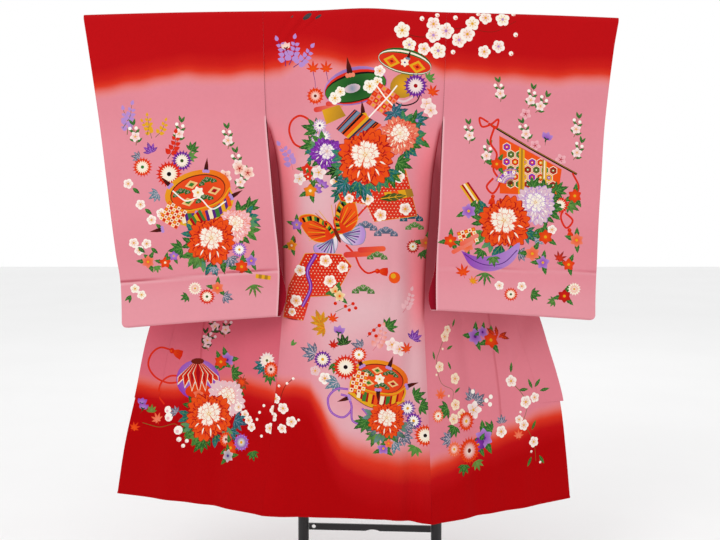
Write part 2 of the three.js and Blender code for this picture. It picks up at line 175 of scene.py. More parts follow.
def back_creases(x, s):
    """Small creases of the back: slanting ones beside the neck, fading down, and slow waves across."""
    slant = 0.0
    for start, lean, depth, width in ((-66, -0.86, 3.4, 8), (-40, -1.15, 2.6, 7), (-98, -0.60, 2.0, 8),
                                      (66, 0.75, 1.8, 10), (98, 0.45, -1.5, 9), (2, -0.08, -2.2, 11)):
        reach = smooth(s / 12) * (1 - smooth((s - 30) / 85))
        slant = slant + depth * bell((x - start - lean * s) / width) * reach
    wave = 0.7 * np.sin(x / 37 + s / 260) * np.sin(s / 71 + 0.8) * smooth((s - 60) / 120)
    long_fold = 1.6 * bell((x - 84 + 0.02 * s) / 9) * smooth((s - 330) / 160)
    return slant + wave + long_fold


def back_point(x, s):
    """The back panel: hung over the rod, its sides curling away below the armholes, with its folds."""
    y, z = over_rod(s)
    v = -z / LENGTH
    left, right = column_at(BACK_EDGES, "left", v), column_at(BACK_EDGES, "right", v)
    u = 2 * (x - left) / (right - left) - 1
    drop = v * v * RIGHT_DROP * np.maximum(0, (u + 0.1) / 1.1) ** 2.2
    y = y + column_at(BACK_EDGES, "curl", v) * u ** 4
    for fold in rows_of(BACK_FOLDS):
        y = y + fold["depth"] * bell((x - fold["x"]) / fold["width"]) * smooth((v - fold["start"]) / 0.2)
    y = y + back_creases(x, s) * (s > 0)
    hump = NECK_RISE["height"] * bell((x - NECK_RISE["x"]) / NECK_RISE["width"])
    rise = hump * np.maximum(0, 1 - np.abs(s) / NECK_RISE["reach"])
    return np.stack([x, y, crest_line(x) + rise + z - drop], -1)


def collar_seam(v):
    """Distance from the side seam to the collar seam."""
    return mix(NECK_START, COLLAR_FOOT, np.clip((v - FRONT_TOP) / (COLLAR_END - FRONT_TOP), 0, 1))


def full_width(v):
    """Distance from the side seam to the front edge."""
    below = mix(COLLAR_FOOT + COLLAR_WIDTH, HEM_WIDTH, (v - COLLAR_END) / (1 - COLLAR_END))
    return np.where(v < COLLAR_END, collar_seam(v) + COLLAR_WIDTH, below)


def front_creases(side, p, v):
    """Small creases of a front: slow waves across, stronger on the right, and one slanting pull."""
    amount = 1.2 if side == "left" else 2.1
    wave = np.sin(p / 31 + 5 * v) * np.sin(9 * v + 1.1 + p / 140)
    pull = 4.6 * bell((p - 236 + 330 * (v - 0.62)) / 15) * bell((v - 0.70) / 0.10) if side == "right" else 0
    return (amount * wave + pull) * smooth((v - 0.33) / 0.15)


def front_point(side, p, v):
    """A front with its overlap and collar as one bowed section; p runs from the side seam."""
    form = SIDES[side]
    sign = form["sign"]
    opening = 1 - smooth((v - ARMHOLE_END) / (SIDE_JOIN - ARMHOLE_END))
    side_x = column_at(BACK_EDGES, side, v)
    side_y = mix(column_at(BACK_EDGES, "curl", v) - FOLD_RADIUS, FOLD_RADIUS, opening)
    chord_x = column_at(form["lead"], "x", v) - side_x
    chord_y = column_at(form["lead"], "y", v) - side_y
    chord = np.hypot(chord_x, chord_y)
    share = p / full_width(v)
    bow = column_at(form["lead"], "bow", v) * 4 * share * (1 - share)
    for fold in rows_of(FRONT_FOLDS):
        place = fold["at"] + fold["slant"] * (1 - v)
        bow = bow + fold["depth"] * bell((share - place) / fold["width"]) * smooth((v - 0.5) / 0.2)
    bow = bow + front_creases(side, p, v) * smooth(share / 0.08)
    x = side_x + chord_x * share - sign * bow * chord_y / chord
    y = side_y + chord_y * share + sign * bow * chord_x / chord
    seam_length = LENGTH + (RIGHT_DROP if side == "right" else 0)
    level = mix(crest_line(x), crest_line(side_x), smooth(v / 0.2))
    hang = np.maximum(share, 0) ** form["curve"]
    length = mix(LENGTH, mix(seam_length, form["lead_length"], hang), v)
    return np.stack([x, y, level - v * length], -1)


def collar_point(q, t):
    """The collar band: q across it, t along from the neck's middle, as a share of the length."""
    out = np.zeros(np.broadcast(q, t).shape + (3,))
    q, t = np.broadcast_arrays(q, t)
    outward = (COLLAR_WALL - WALL) / 2
    for side, chosen in (("left", t < 0), ("right", t >= 0)):
        v, band = np.abs(t[chosen]), q[chosen][:, None]
        corner = np.array([-SIDES[side]["sign"] * 0.25, 0.5, -0.8])
        corner = corner / np.linalg.norm(corner)
        neck = {"left": column_at(BACK_EDGES, "left", FRONT_TOP) + NECK_START + SEAM,
                "right": column_at(BACK_EDGES, "right", FRONT_TOP) - NECK_START - SEAM}
        share = np.minimum(v / FRONT_TOP, 1)
        x = mix((neck["left"] + neck["right"]) / 2, neck[side], share)
        down = mix(np.array([0, 0.05, -1.0]), corner, smooth(share)[:, None])
        down = down / np.linalg.norm(down, axis=1)[:, None]
        top = crest_line(x) - SHOULDER_FLAP - SEAM
        across_neck = np.stack([x, np.full_like(x, FOLD_RADIUS + outward), top], -1) + down * band
        turned = smooth((v - FRONT_TOP) / 0.09)
        gap = mix(3 * SEAM, SEWN, turned)
        hanging = front_point(side, collar_seam(v) + gap, v) + corner * band
        hanging[:, 1] += outward * (1 - turned)
        folded = front_point(side, collar_seam(v) + gap + q[chosen], v)
        down_front = mix(hanging, folded, turned[:, None])
        out[chosen] = np.where((v < FRONT_TOP)[:, None], across_neck, down_front)
    return out


def sleeve_creases(side, x, s):
    """Small creases of a sleeve: two long soft ones and slow waves."""
    inner = SIDES[side]["sign"] * x
    soft = 1.5 * bell((inner - 232 - 0.03 * s) / 17) - 1.3 * bell((inner - 352 + 0.05 * s) / 26)
    wave = 0.8 * np.sin(inner / 43 + s / 190) * np.sin(s / 83 + 0.4)
    return (soft + wave) * smooth((s - 50) / 140) * (1 - smooth((s - 470) / 60))


def tuck_step(side, x, s):
    """The tuck across a sleeve: the cloth above it stands proud and ends in a step."""
    line = tuck_line(side, x)
    height = 2.6 if side == "left" else 0.9
    return -height * (1 - smooth((s - line + 0.8) / 1.6)) * smooth((s - line + 46) / 40)


def tuck_line(side, x):
    """Distance down the cloth of the sewn tuck."""
    if side == "left":
        return 497.0 - 0.066 * (x + 413)
    return 473.0 + 0.004 * (x - 300)


def sleeve_point(side, half, x, s):
    """A sleeve half: over the rod, down with a slight billow, and round its folded bottom."""
    form = SIDES[side]
    _, z_over = over_rod(s)
    v = -z_over / LENGTH
    inner, outer = column_at(form["sleeve"], "inner", v), column_at(form["sleeve"], "outer", v)
    u = np.clip((x - inner) / (outer - inner), 0, 1)
    low = mix(*SLEEVE_DEPTH[side], u) - HEM_FOLD_RADIUS
    turn = np.minimum(s / FOLD_RADIUS, math.pi / 2)
    down = np.clip((s - QUARTER) / (low - FOLD_RADIUS), 0, 1)
    under = np.clip((s - QUARTER - low + FOLD_RADIUS) / HEM_FOLD_RADIUS, 0, math.pi / 2)
    z = -FOLD_RADIUS * (1 - np.cos(turn)) - down * (low - FOLD_RADIUS) - HEM_FOLD_RADIUS * np.sin(under)
    straight = mix(FOLD_RADIUS, HEM_FOLD_RADIUS, smooth((down - 0.75) / 0.25))
    straight = straight + SLEEVE_BILLOW * np.sin(math.pi * down)
    y = np.where(s < QUARTER, FOLD_RADIUS * np.sin(turn), straight * np.cos(under))
    y = half * y
    if half < 0:
        y = y + sleeve_creases(side, x, s) + tuck_step(side, x, s) * (down > 0) * (under <= 0)
    return np.stack([x, y, crest_line(x) + z], -1)


def sleeve_end(side, x):
    """Distance along the cloth from the crest to the middle of the bottom fold."""
    inner, outer = (column_at(SIDES[side]["sleeve"], name, 0.6) for name in ("inner", "outer"))
    u = np.clip((x - inner) / (outer - inner), 0, 1)
    low = mix(*SLEEVE_DEPTH[side], u) - HEM_FOLD_RADIUS
    return QUARTER + low - FOLD_RADIUS + HEM_FOLD_RADIUS * math.pi / 2 - SEAM / 2


def sleeve_edges(side, half, s):
    """Body side and wrist side of a sleeve half, with the gaping lower body side and rounded corner."""
    form = SIDES[side]
    sign = form["sign"]
    v = -over_rod(s)[1] / LENGTH
    gap = SEAM if half < 0 else 2 * SEAM
    gape = 0 if half < 0 else GAPE_SIZE * bell((v - GAPE_AT) / GAPE_REACH)
    seam_x = np.where(v < ARMHOLE_END, column_at(BACK_EDGES, side, v), column_at(form["sleeve"], "inner", v))
    left = np.maximum(0, SLEEVE_CORNER - (SLEEVE_DEPTH[side][1] - v * LENGTH))
    inset = SLEEVE_CORNER - np.sqrt(np.maximum(SLEEVE_CORNER ** 2 - np.minimum(left, SLEEVE_CORNER) ** 2, 0))
    return seam_x + sign * (gap - gape), column_at(form["sleeve"], "outer", v) - sign * inset


# Colours, as they look in the studio light
LIGHT_GAIN = 1.17
# The warm pink paints a glow of bounce light; the wing pink and the lining red also paint shade.
PALETTE = {"red": "#bb0d13", "deep_red": "#ae0207", "orange_red": "#d93420", "fringe": "#e2644f",
           "salmon": "#ea8368", "pink": "#e28e9a", "warm_pink": "#ff8690", "rose": "#d97b88",
           "wing_pink": "#d4576a", "pale_pink": "#f0b9bf", "pale": "#e2c0c4", "top_fade": "#c91d18",
           "lining_red": "#9a1226", "white": "#f8f1e6", "cream": "#f3e0bf", "gold": "#e2a320",
           "ochre": "#a97a26", "orange": "#ea5318", "scarlet": "#d5270f", "crimson": "#a50c18",
           "brown": "#6e2013", "purple": "#8c36ac", "lilac": "#b48acb", "violet": "#562678",
           "blue_grey": "#74879c", "navy": "#2a2e4a", "teal": "#1f747c", "green": "#3c7831",
           "dark_green": "#16451f", "leaf": "#6a9748", "olive": "#64632a", "black": "#1a0f12"}


def linear(name):
    """A palette colour as linear light."""
    code = PALETTE[name]
    value = np.array([int(code[k:k + 2], 16) / 255 for k in (1, 3, 5)])
    return np.where(value <= 0.04045, value / 12.92, ((value + 0.055) / 1.055) ** 2.4) / LIGHT_GAIN


COLOURS = {name: linear(name) for name in PALETTE}


def blend(colour, name, amount):
    """The colour array moved towards a palette colour by amount, from 0 to 1."""
    return mix(colour, COLOURS[name], np.clip(amount, 0, 1)[..., None])


class Design:
    """Printed outlines on a plane, each above the one before it, in millimetres."""

    def __init__(self):
        self.outlines = []
        self.paints = []

    def add(self, outline, colour, outer=None, centre=(0.0, 0.0), along=(0.0, 0.0), radius=None, cover=1.0):
        """A filled outline, plain or shading from colour to outer along a vector or over a radius."""
        outer = outer or colour
        reach = along[0] ** 2 + along[1] ** 2
        slope = (along[0] / reach, along[1] / reach) if reach else (0.0, 0.0)
        self.outlines.append(np.asarray(outline, float))
        self.paints.append(np.concatenate([COLOURS[colour], COLOURS[outer], centre, slope,
                                           [1 / radius if radius else 0.0, cover]]))

    def near(self, low, high):
        """The outlines that reach into a box of the plane, with their paints."""
        kept = [k for k, points in enumerate(self.outlines)
                if (points.max(0) > low).all() and (points.min(0) < high).all()]
        return [self.outlines[k] for k in kept], np.array([self.paints[k] for k in kept]).reshape(-1, 12)


def painted(paints, points):
    """Linear colour and cover of each point: mix of the paint's two colours by clipped distance along it."""
    away = points - paints[:, 6:8]
    t = (away * paints[:, 8:10]).sum(1) + np.linalg.norm(away, axis=1) * paints[:, 10]
    colour = mix(paints[:, 0:3], paints[:, 3:6], np.clip(t, 0, 1)[:, None])
    return np.concatenate([colour, paints[:, 11:12]], 1)


def turned_left(points, face):
    """The face's corners in counter-clockwise order, by the sign of its area."""
    x, y = points[face].T
    area = (x * np.roll(y, -1) - np.roll(x, -1) * y).sum()
    return face if area > 0 else face[::-1]


def triangulate(points, faces):
    """Triangles of the plane cut along the faces' outlines, inside the first one, counter-clockwise."""
    faces = [turned_left(points, face) for face in faces]
    vectors = list(map(Vector, points.tolist()))
    placed, _, corners, origin, _, owners = delaunay_2d_cdt(vectors, [], faces, 0, 1e-4, True)
    placed = np.array([tuple(p) for p in placed])
    kept = [k for k, owner in enumerate(owners) if 0 in owner]
    triangles = np.array([corners[k] for k in kept])
    top = np.array([max(owners[k]) for k in kept])
    p, q, r = (placed[triangles[:, k]] for k in range(3))
    area = (q[:, 0] - p[:, 0]) * (r[:, 1] - p[:, 1]) - (q[:, 1] - p[:, 1]) * (r[:, 0] - p[:, 0])
    triangles = np.where((area < 0)[:, None], triangles[:, ::-1], triangles)
    full = np.abs(area) > 1e-7
    return placed, triangles[full], top[full], origin


def border(grid):
    """The points round the border of a grid of points, once round."""
    return np.concatenate([grid[0, :-1], grid[:-1, -1], grid[-1, :0:-1], grid[:0:-1, 0]])


def rim_loop(triangles):
    """Corners round the outside of a patch of triangles, in the direction of its triangles' edges."""
    edges = np.concatenate([triangles[:, [0, 1]], triangles[:, [1, 2]], triangles[:, [2, 0]]])
    count = triangles.max() + 1
    outside = edges[~np.isin(edges[:, 0] * count + edges[:, 1], edges[:, 1] * count + edges[:, 0])]
    onward = dict(outside.tolist())
    longest = []
    while onward:
        start, corner = onward.popitem()
        loop = [start]
        while corner != start and corner in onward:
            loop.append(corner)
            corner = onward.pop(corner)
        longest = max(longest, loop, key=len)
    return np.array(longest)


def normals_of(point, plane, outward):
    """Unit normals of point(a, b), the cross product of its two tangents by central differences."""
    step = 0.6
    a, b = plane[:, 0], plane[:, 1]
    along_a = point(a + step, b) - point(a - step, b)
    along_b = point(a, b + step) - point(a, b - step)
    normal = np.cross(along_a, along_b) * outward
    return normal / np.maximum(np.linalg.norm(normal, axis=1), 1e-9)[:, None]


def set_attribute(mesh, name, domain, values):
    """A colour attribute from an array of linear red, green, blue and alpha."""
    layer = mesh.color_attributes.new(name, "FLOAT_COLOR", domain)
    layer.data.foreach_set("color", np.ascontiguousarray(values, np.float32).ravel())


def set_uv(mesh, name, corners):
    """A UV map from the places of all triangle corners."""
    layer = mesh.uv_layers.new(name=name)
    layer.uv.foreach_set("vector", np.ascontiguousarray(corners, np.float32).ravel())


def mesh_object(name, points, triangles, material, normals=None):
    """An object of triangles given in millimetres from the rod line."""
    mesh = bpy.data.meshes.new(name)
    mesh.vertices.add(len(points))
    mesh.loops.add(3 * len(triangles))
    mesh.polygons.add(len(triangles))
    place = (points + np.array([0, ROD_Y, CREST])) * MM
    mesh.vertices.foreach_set("co", np.ascontiguousarray(place, np.float32).ravel())
    mesh.loops.foreach_set("vertex_index", np.ascontiguousarray(triangles, np.int32).ravel())
    mesh.polygons.foreach_set("loop_start", np.arange(0, 3 * len(triangles), 3, dtype=np.int32))
    mesh.polygons.foreach_set("use_smooth", np.ones(len(triangles), bool))
    mesh.update(calc_edges=True)
    mesh.materials.append(material)
    if normals is not None:
        mesh.normals_split_custom_set_from_vertices(normals.tolist())
    piece = bpy.data.objects.new(name, mesh)
    bpy.context.scene.collection.objects.link(piece)
    return piece


RIM_BULGE = 0.12                          # how far the rounded rim stands out
SIDE_IN_LAYOUT = np.array([0.48, 0.98])   # width and height of one side of a panel in the flat layout
LAYOUT_MARGIN = 0.005
RIM_ROWS = (0.990, 0.994, 0.998)          # heights of the rim's three rows of points in the layout


def plane_of(grid, outlines):
    """Points of a panel's plane and their faces: the grid's border first, then each printed outline."""
    ring = border(grid)
    points = [ring, grid[1:-1, 1:-1].reshape(-1, 2)]
    faces = [list(range(len(ring)))]
    count = len(ring) + len(points[1])
    for outline in outlines:
        points.append(outline)
        faces.append(list(range(count, count + len(outline))))
        count += len(outline)
    return np.concatenate(points), faces


def numbers_after(origin, count):
    """The new numbers of the first count points of a cut plane."""
    numbers = np.zeros(count, int)
    for k, sources in enumerate(origin):
        for source in sources:
            if source < count:
                numbers[source] = k
    return numbers


def rim_between(near, mid, far):
    """Two rows of triangles round a rim, from the outer side over the middle to the inner side."""
    after = np.roll(np.arange(len(mid)), -1)
    rim = np.concatenate([np.stack([near[after], near, mid], 1), np.stack([near[after], mid, mid[after]], 1),
                          np.stack([mid[after], mid, far], 1), np.stack([mid[after], far, far[after]], 1)])
    return rim[(rim[:, 0] != rim[:, 1]) & (rim[:, 1] != rim[:, 2]) & (rim[:, 0] != rim[:, 2])]


def print_layer(count, outer, top, paints, placed):
    """Print of each triangle's corners, by the topmost outline over an outer triangle, else none."""
    prints = np.zeros((count, 3, 4))
    drawn = np.flatnonzero(top > 0)
    if len(drawn):
        paint = np.repeat(paints[top[drawn] - 1], 3, 0)
        prints[drawn] = painted(paint, placed[outer[drawn].ravel()]).reshape(-1, 3, 4)
    return prints.reshape(-1, 4)


def panel(name, point, grid, outward, wall, ground, design, material, lining="lining_red", edge=None,
          relief=None):
    """A lined cloth panel. Its outer side is cut along every printed outline and its inner side is plain.

    Both sides lie half the wall from point(a, b) along its normal, and a rounded rim joins them."""
    low, high = grid.reshape(-1, 2).min(0), grid.reshape(-1, 2).max(0)
    outlines, paints = design.near(low, high)
    placed, outer, top, _ = triangulate(*plane_of(grid, outlines))
    used, outer = np.unique(outer, return_inverse=True)
    outer = outer.reshape(-1, 3)
    outer = outer if outward > 0 else outer[:, ::-1]
    placed = placed[used]
    loop = rim_loop(outer)

    plain = np.concatenate([placed[loop], grid[2:-2:2, 2:-2:2].reshape(-1, 2)])
    under, inner, _, origin = triangulate(plain, [list(range(len(loop)))])
    inner = inner[:, ::-1] if outward > 0 else inner

    normal = normals_of(point, placed, outward)
    inner_normal = -normals_of(point, under, outward)
    centre = point(placed[:, 0], placed[:, 1])
    lift = relief(placed[:, 0], placed[:, 1]) if relief else np.zeros(len(placed))
    ahead = np.roll(centre[loop], -1, 0) - np.roll(centre[loop], 1, 0)
    aside = np.cross(ahead, normal[loop])
    aside = aside / np.maximum(np.linalg.norm(aside, axis=1), 1e-9)[:, None]
    middle = centre[loop] + aside * RIM_BULGE
    outer_place = centre + normal * (wall / 2 + lift)[:, None]
    inner_place = point(under[:, 0], under[:, 1]) + inner_normal * wall / 2

    n_outer, n_inner, n_rim = len(outer_place), len(inner_place), len(loop)
    rim = rim_between(loop, n_outer + n_inner + np.arange(n_rim), n_outer + numbers_after(origin, n_rim))
    points = np.concatenate([outer_place, inner_place, middle])
    triangles = np.concatenate([outer, inner + n_outer, rim])
    piece = mesh_object(name, points, triangles, material, np.concatenate([normal, inner_normal, aside]))

    plane = np.concatenate([placed, under, placed[loop]])
    colours = np.ones((len(points), 4))
    colours[:n_outer, :3] = ground(placed[:, 0], placed[:, 1])
    colours[n_outer:, :3] = COLOURS[lining]
    colours[n_outer + n_inner:, :3] = COLOURS[edge or lining]
    set_attribute(piece.data, "ground", "POINT", colours)
    prints = print_layer(len(triangles), outer, top, paints, placed)
    set_attribute(piece.data, "print", "CORNER", prints)
    set_uv(piece.data, "cloth", plane[triangles.ravel()] * MM)
    layout = unfolded(plane, triangles, n_outer, n_inner, len(outer), len(inner), low, high)
    set_uv(piece.data, "OFBake", layout)
    return piece


def unfolded(plane, triangles, n_outer, n_inner, outer_count, inner_count, low, high):
    """A flat layout: the outer side on the left, the inner side on the right, the rim in a strip above."""
    share = (plane - low) / (high - low)
    corners = share[triangles.ravel()] * SIDE_IN_LAYOUT + LAYOUT_MARGIN
    inner = slice(3 * outer_count, 3 * (outer_count + inner_count))
    corners[inner, 0] += 0.5
    first = 3 * (outer_count + inner_count)
    rim = triangles.ravel()[first:]
    n_rim = max(len(plane) - n_outer - n_inner, 1)
    low_row, middle_row, high_row = RIM_ROWS
    upper = np.where(rim < n_outer + n_inner, high_row, middle_row)
    corners[first:, 1] = np.where(rim < n_outer, low_row, upper)
    quads = np.arange(len(rim)) // 3 % n_rim
    corners[first:, 0] = LAYOUT_MARGIN + (1 - 2 * LAYOUT_MARGIN) * quads / n_rim
    corners[first + 1::3, 0] += 0.9 / n_rim
    return corners


# Shaders


class Socket:
    """A shader value that takes part in sums; each operation adds its Math node."""

    def __init__(self, nodes, output):
        self.nodes, self.output = nodes, output

    def _math(self, operation, first, second=None):
        values = {0: first} if second is None else {0: first, 1: second}
        return self.nodes.add("ShaderNodeMath", {"operation": operation}, values).out()

    def __add__(self, other):
        return self._math("ADD", self, other)

    def __radd__(self, other):
        return self._math("ADD", other, self)

    def __sub__(self, other):
        return self._math("SUBTRACT", self, other)

    def __rsub__(self, other):
        return self._math("SUBTRACT", other, self)

    def __mul__(self, other):
        return self._math("MULTIPLY", self, other)

    def __rmul__(self, other):
        return self._math("MULTIPLY", other, self)

    def sine(self):
        return self._math("SINE", self)


class Node:
    """A node of a material, with its outputs as sockets."""

    def __init__(self, nodes, node):
        self.nodes, self.node = nodes, node

    def out(self, name=0):
        return Socket(self.nodes, self.node.outputs[name])


class Nodes:
    """The nodes of one material, ending in a Principled shader."""

    def __init__(self, name):
        self.material = bpy.data.materials.new(name)
        self.material.use_nodes = True
        self.tree = self.material.node_tree
        self.shader = self.tree.nodes["Principled BSDF"]

    def add(self, kind, settings=None, values=None):
        """A node of a type, its settings first and then its sockets' values or links."""
        node = self.tree.nodes.new(kind)
        for name, value in (settings or {}).items():
            setattr(node, name, value)
        for name, value in (values or {}).items():
            self.feed(node.inputs[name], value)
        return Node(self, node)

    def feed(self, socket, value):
        """A socket's link, or its value."""
        if isinstance(value, Socket):
            self.tree.links.new(value.output, socket)
        else:
            socket.default_value = value

    def shade(self, **values):
        """Values and links of the Principled shader, by socket name with underscores."""
        for name, value in values.items():
            self.feed(self.shader.inputs[name.replace("_", " ")], value)
        return self.material

    def split(self, vector):
        parts = self.add("ShaderNodeSeparateXYZ", None, {0: vector})
        return parts.out("X"), parts.out("Y")

    def noise(self, vector, scale, detail=3.0, distortion=0.0):
        values = {"Vector": vector, "Scale": scale, "Detail": detail, "Distortion": distortion}
        return self.add("ShaderNodeTexNoise", {"noise_dimensions": "3D"}, values).out("Fac")

    def tint(self, colour, factor):
        """A colour times a grey factor."""
        grey = self.add("ShaderNodeCombineColor", None, {0: factor, 1: factor, 2: factor}).out()
        settings = {"data_type": "RGBA", "blend_type": "MULTIPLY"}
        return self.add("ShaderNodeMix", settings, {0: 1.0, 6: colour, 7: grey}).out(2)

    def bump(self, height, strength, distance):
        values = {"Height": height, "Strength": strength, "Distance": distance}
        return self.add("ShaderNodeBump", None, values).out()


THREAD_TURNS = 2 * math.pi / 0.0011   # thread pitch of about a millimetre


def silk(name):
    """Printed crepe silk: the ground and print attributes, cloudy dye, fine threads and crepe grain."""
    nodes = Nodes(name)
    cloth = nodes.add("ShaderNodeUVMap", {"uv_map": "cloth"}).out()
    ground = nodes.add("ShaderNodeVertexColor", {"layer_name": "ground"}).out("Color")
    ink = nodes.add("ShaderNodeVertexColor", {"layer_name": "print"})
    settings = {"data_type": "RGBA", "blend_type": "MIX"}
    values = {0: ink.out("Alpha"), 6: ground, 7: ink.out("Color")}
    colour = nodes.add("ShaderNodeMix", settings, values).out(2)
    across, down = nodes.split(cloth)
    threads = (across * THREAD_TURNS).sine() + (down * THREAD_TURNS * 0.86).sine()
    grain = nodes.noise(cloth, 900.0, 2.0, 0.6)
    cloud = nodes.noise(cloth, 9.0, 3.0)
    slub = nodes.noise(cloth, 140.0, 3.0)
    factor = 0.925 + cloud * 0.09 + slub * 0.05 + grain * 0.03
    height = threads * 0.12 + grain * 0.5
    return nodes.shade(Base_Color=nodes.tint(colour, factor), Normal=nodes.bump(height, 0.35, 0.0002),
                       Roughness=0.66 + cloud * 0.08 - threads * 0.01, Sheen_Weight=0.02,
                       Sheen_Roughness=0.45, Specular_IOR_Level=0.03)


def steel(name):
    """Black powder-coated steel with a fine orange-peel grain and slightly worn gloss."""
    nodes = Nodes(name)
    place = nodes.add("ShaderNodeTexCoord").out("Object")
    grain = nodes.noise(place, 700.0, 2.0)
    wear = nodes.noise(place, 18.0, 4.0)
    black = nodes.tint((0.020, 0.020, 0.022, 1.0), 0.7 + wear * 0.6)
    return nodes.shade(Base_Color=black, Roughness=0.36 + wear * 0.2, Metallic=0.25,
                       Normal=nodes.bump(grain, 0.25, 0.0003))


def rubber(name):
    """Matt moulded rubber with a fine grain and a little dust."""
    nodes = Nodes(name)
    place = nodes.add("ShaderNodeTexCoord").out("Object")
    grain = nodes.noise(place, 1300.0, 2.0)
    dust = nodes.noise(place, 40.0, 4.0)
    return nodes.shade(Base_Color=nodes.tint((0.018, 0.018, 0.018, 1.0), 0.8 + dust * 0.9),
                       Roughness=0.72 + dust * 0.2, Normal=nodes.bump(grain, 0.4, 0.0003))


# Printed figures. A figure's own plane has x to the right and y down, as seen from the cloth's outer side.


def turning(degrees):
    """The matrix that turns rows of points by an angle."""
    cosine, sine = math.cos(math.radians(degrees)), math.sin(math.radians(degrees))
    return np.array([[cosine, sine], [-sine, cosine]])


class Spot:
    """A figure's centre, size, turn in degrees and handedness on a design, with ways to draw there."""

    def __init__(self, design, x, y, size=1.0, turn=0.0, hand=1):
        self.design = design
        self.centre = np.array([x, y], float)
        self.size = size
        self.hand = hand
        self.spin = turning(turn)

    def put(self, points):
        """Points of the figure's plane, scaled, turned and moved to their place."""
        turned = (np.asarray(points, float) * self.size) @ self.spin
        turned[:, 0] *= self.hand
        return turned + self.centre

    def at(self, x, y, size=1.0, turn=0.0):
        """A spot inside this one, in its plane."""
        inner = Spot(self.design, *self.put([(x, y)])[0], self.size * size, 0.0, self.hand)
        inner.spin = turning(turn) @ self.spin
        return inner

    def fill(self, points, colour, outer=None, reach=1.0, middle=(0.0, 0.0)):
        """A filled outline, plain or shading from its middle to outer at its reach."""
        radius = reach * self.size if outer else None
        self.design.add(self.put(points), colour, outer, tuple(self.put([middle])[0]), radius=radius)

    def dot(self, x, y, radius, colour, count=7):
        self.fill(oval(radius, radius, count, x, y), colour)

    def line(self, points, width, colour, end=None, curved=True, cover=1.0):
        """A drawn line of a width that may taper to end, in short overlapping stretches."""
        path = self.put(smooth_line(points) if curved else points)
        ahead = np.gradient(path, axis=0)
        pace = np.maximum(np.linalg.norm(ahead, axis=1), 1e-9)[:, None]
        aside = np.stack([-ahead[:, 1], ahead[:, 0]], 1) / pace
        half = 0.5 * self.size * np.linspace(width, width if end is None else end, len(path))[:, None]
        for k in range(0, len(path) - 1, 4):
            part = slice(k, k + 5)
            sides = path[part] + aside[part] * half[part], (path[part] - aside[part] * half[part])[::-1]
            self.design.add(np.concatenate(sides), colour, cover=cover)


def stroke(design, points, *looks):
    """A line drawn on the design's own plane."""
    Spot(design, 0, 0).line(points, *looks)


def bead(design, x, y, radius, colour, count):
    """A round dot on the design's own plane."""
    Spot(design, x, y).dot(0, 0, radius, colour, count)


def oval(width, height, count=12, x=0.0, y=0.0):
    """An ellipse of count corners."""
    t = np.linspace(0, 2 * math.pi, count, endpoint=False)
    return np.stack([x + width * np.cos(t), y + height * np.sin(t)], 1)


def petal(start, end, width, notch=0.0, count=7, fullness=0.62):
    """A petal along +x from start to end: half-width width * sin(pi t ** k), with a notch in its tip."""
    t = np.linspace(0, 1, count)
    half = width * np.sin(math.pi * t ** (1 / (2 * fullness)))
    x = start + (end - start) * t
    upper = np.stack([x, half], 1)[1:-1]
    lower = np.stack([x, -half], 1)[1:-1][::-1]
    tip = [(end - notch * (end - start), 0.0)]
    return np.concatenate([[(start, 0.0)], upper, tip, lower])


def turned(points, degrees):
    """Points turned about the origin."""
    return points @ turning(degrees)


def smooth_line(points, steps=6):
    """A Catmull-Rom curve through points."""
    p = np.asarray(points, float)
    p = np.concatenate([[2 * p[0] - p[1]], p, [2 * p[-1] - p[-2]]])
    t = np.linspace(0, 1, steps, endpoint=False)[:, None]
    parts = []
    for a, b, c, d in zip(p[:-3], p[1:-2], p[2:-1], p[3:]):
        bend, twist = 2 * a - 5 * b + 4 * c - d, 3 * b - a - 3 * c + d
        parts.append(0.5 * (2 * b + (c - a) * t + bend * t ** 2 + twist * t ** 3))
    return np.concatenate(parts + [p[-2:-1]])


def ring_of(spot, count, start, end, width, colour, outer, notch, turn, corners, fullness):
    """Petals all round, shading outwards from colour to outer."""
    shape = petal(start, end, width, notch, corners, fullness)
    for k in range(count):
        spot.fill(turned(shape, turn + 360 * k / count), colour, outer, end)


def plum(design, x, y, size=9.0, inner="pale_pink", outer="white", heart="gold", turn=0.0, thread="gold"):
    """Plum blossom: five round petals, a heart and a ring of threads with dots."""
    spot = Spot(design, x, y, size, turn)
    for k in range(5):
        spread = math.radians(turn + 72 * k - 90)
        middle = spot.centre + 0.53 * size * np.array([math.cos(spread), math.sin(spread)])
        design.add(middle + oval(0.47 * size, 0.47 * size, 11), inner, outer, (x, y), radius=0.75 * size)
    for k in range(7):
        tip = turned(np.array([[0.16, 0.0], [0.50, 0.0]]), 360 * k / 7 + 12)
        spot.line(tip, 0.05, thread, curved=False)
        spot.dot(*tip[1], 0.065, thread, 5)
    spot.dot(0, 0, 0.19, heart, 8)


def cherry(design, x, y, size=9.0, inner="salmon", outer="white", heart="crimson", turn=0.0):
    """Cherry blossom: five notched petals, a small heart and fine threads."""
    spot = Spot(design, x, y, size, turn)
    ring_of(spot, 5, 0.06, 1.0, 0.36, inner, outer, 0.16, -90, 8, 0.78)
    for k in range(5):
        tip = turned(np.array([[0.10, 0.0], [0.42, 0.0]]), 72 * k - 54)
        spot.line(tip, 0.06, heart, curved=False)
    spot.dot(0, 0, 0.13, heart, 6)


def chrysanthemum(design, x, y, size=12.0, outer="orange_red", tip="orange", inner="cream",
                  heart="dark_green", count=18, turn=0.0):
    """Round chrysanthemum: an outer ring of narrow petals, a pale inner ring and a dark eye."""
    spot = Spot(design, x, y, size, turn)
    spot.fill(oval(0.8, 0.8, 16), outer)
    ring_of(spot, count, 0.35, 1.0, 0.115, outer, tip, 0.0, 0, 5, 0.8)
    ring_of(spot, count, 0.12, 0.68, 0.10, "white", inner, 0.0, 180 / count, 5, 0.8)
    spot.dot(0, 0, 0.17, "olive" if heart == "dark_green" else heart, 8)
    spot.dot(0, 0, 0.10, heart, 6)


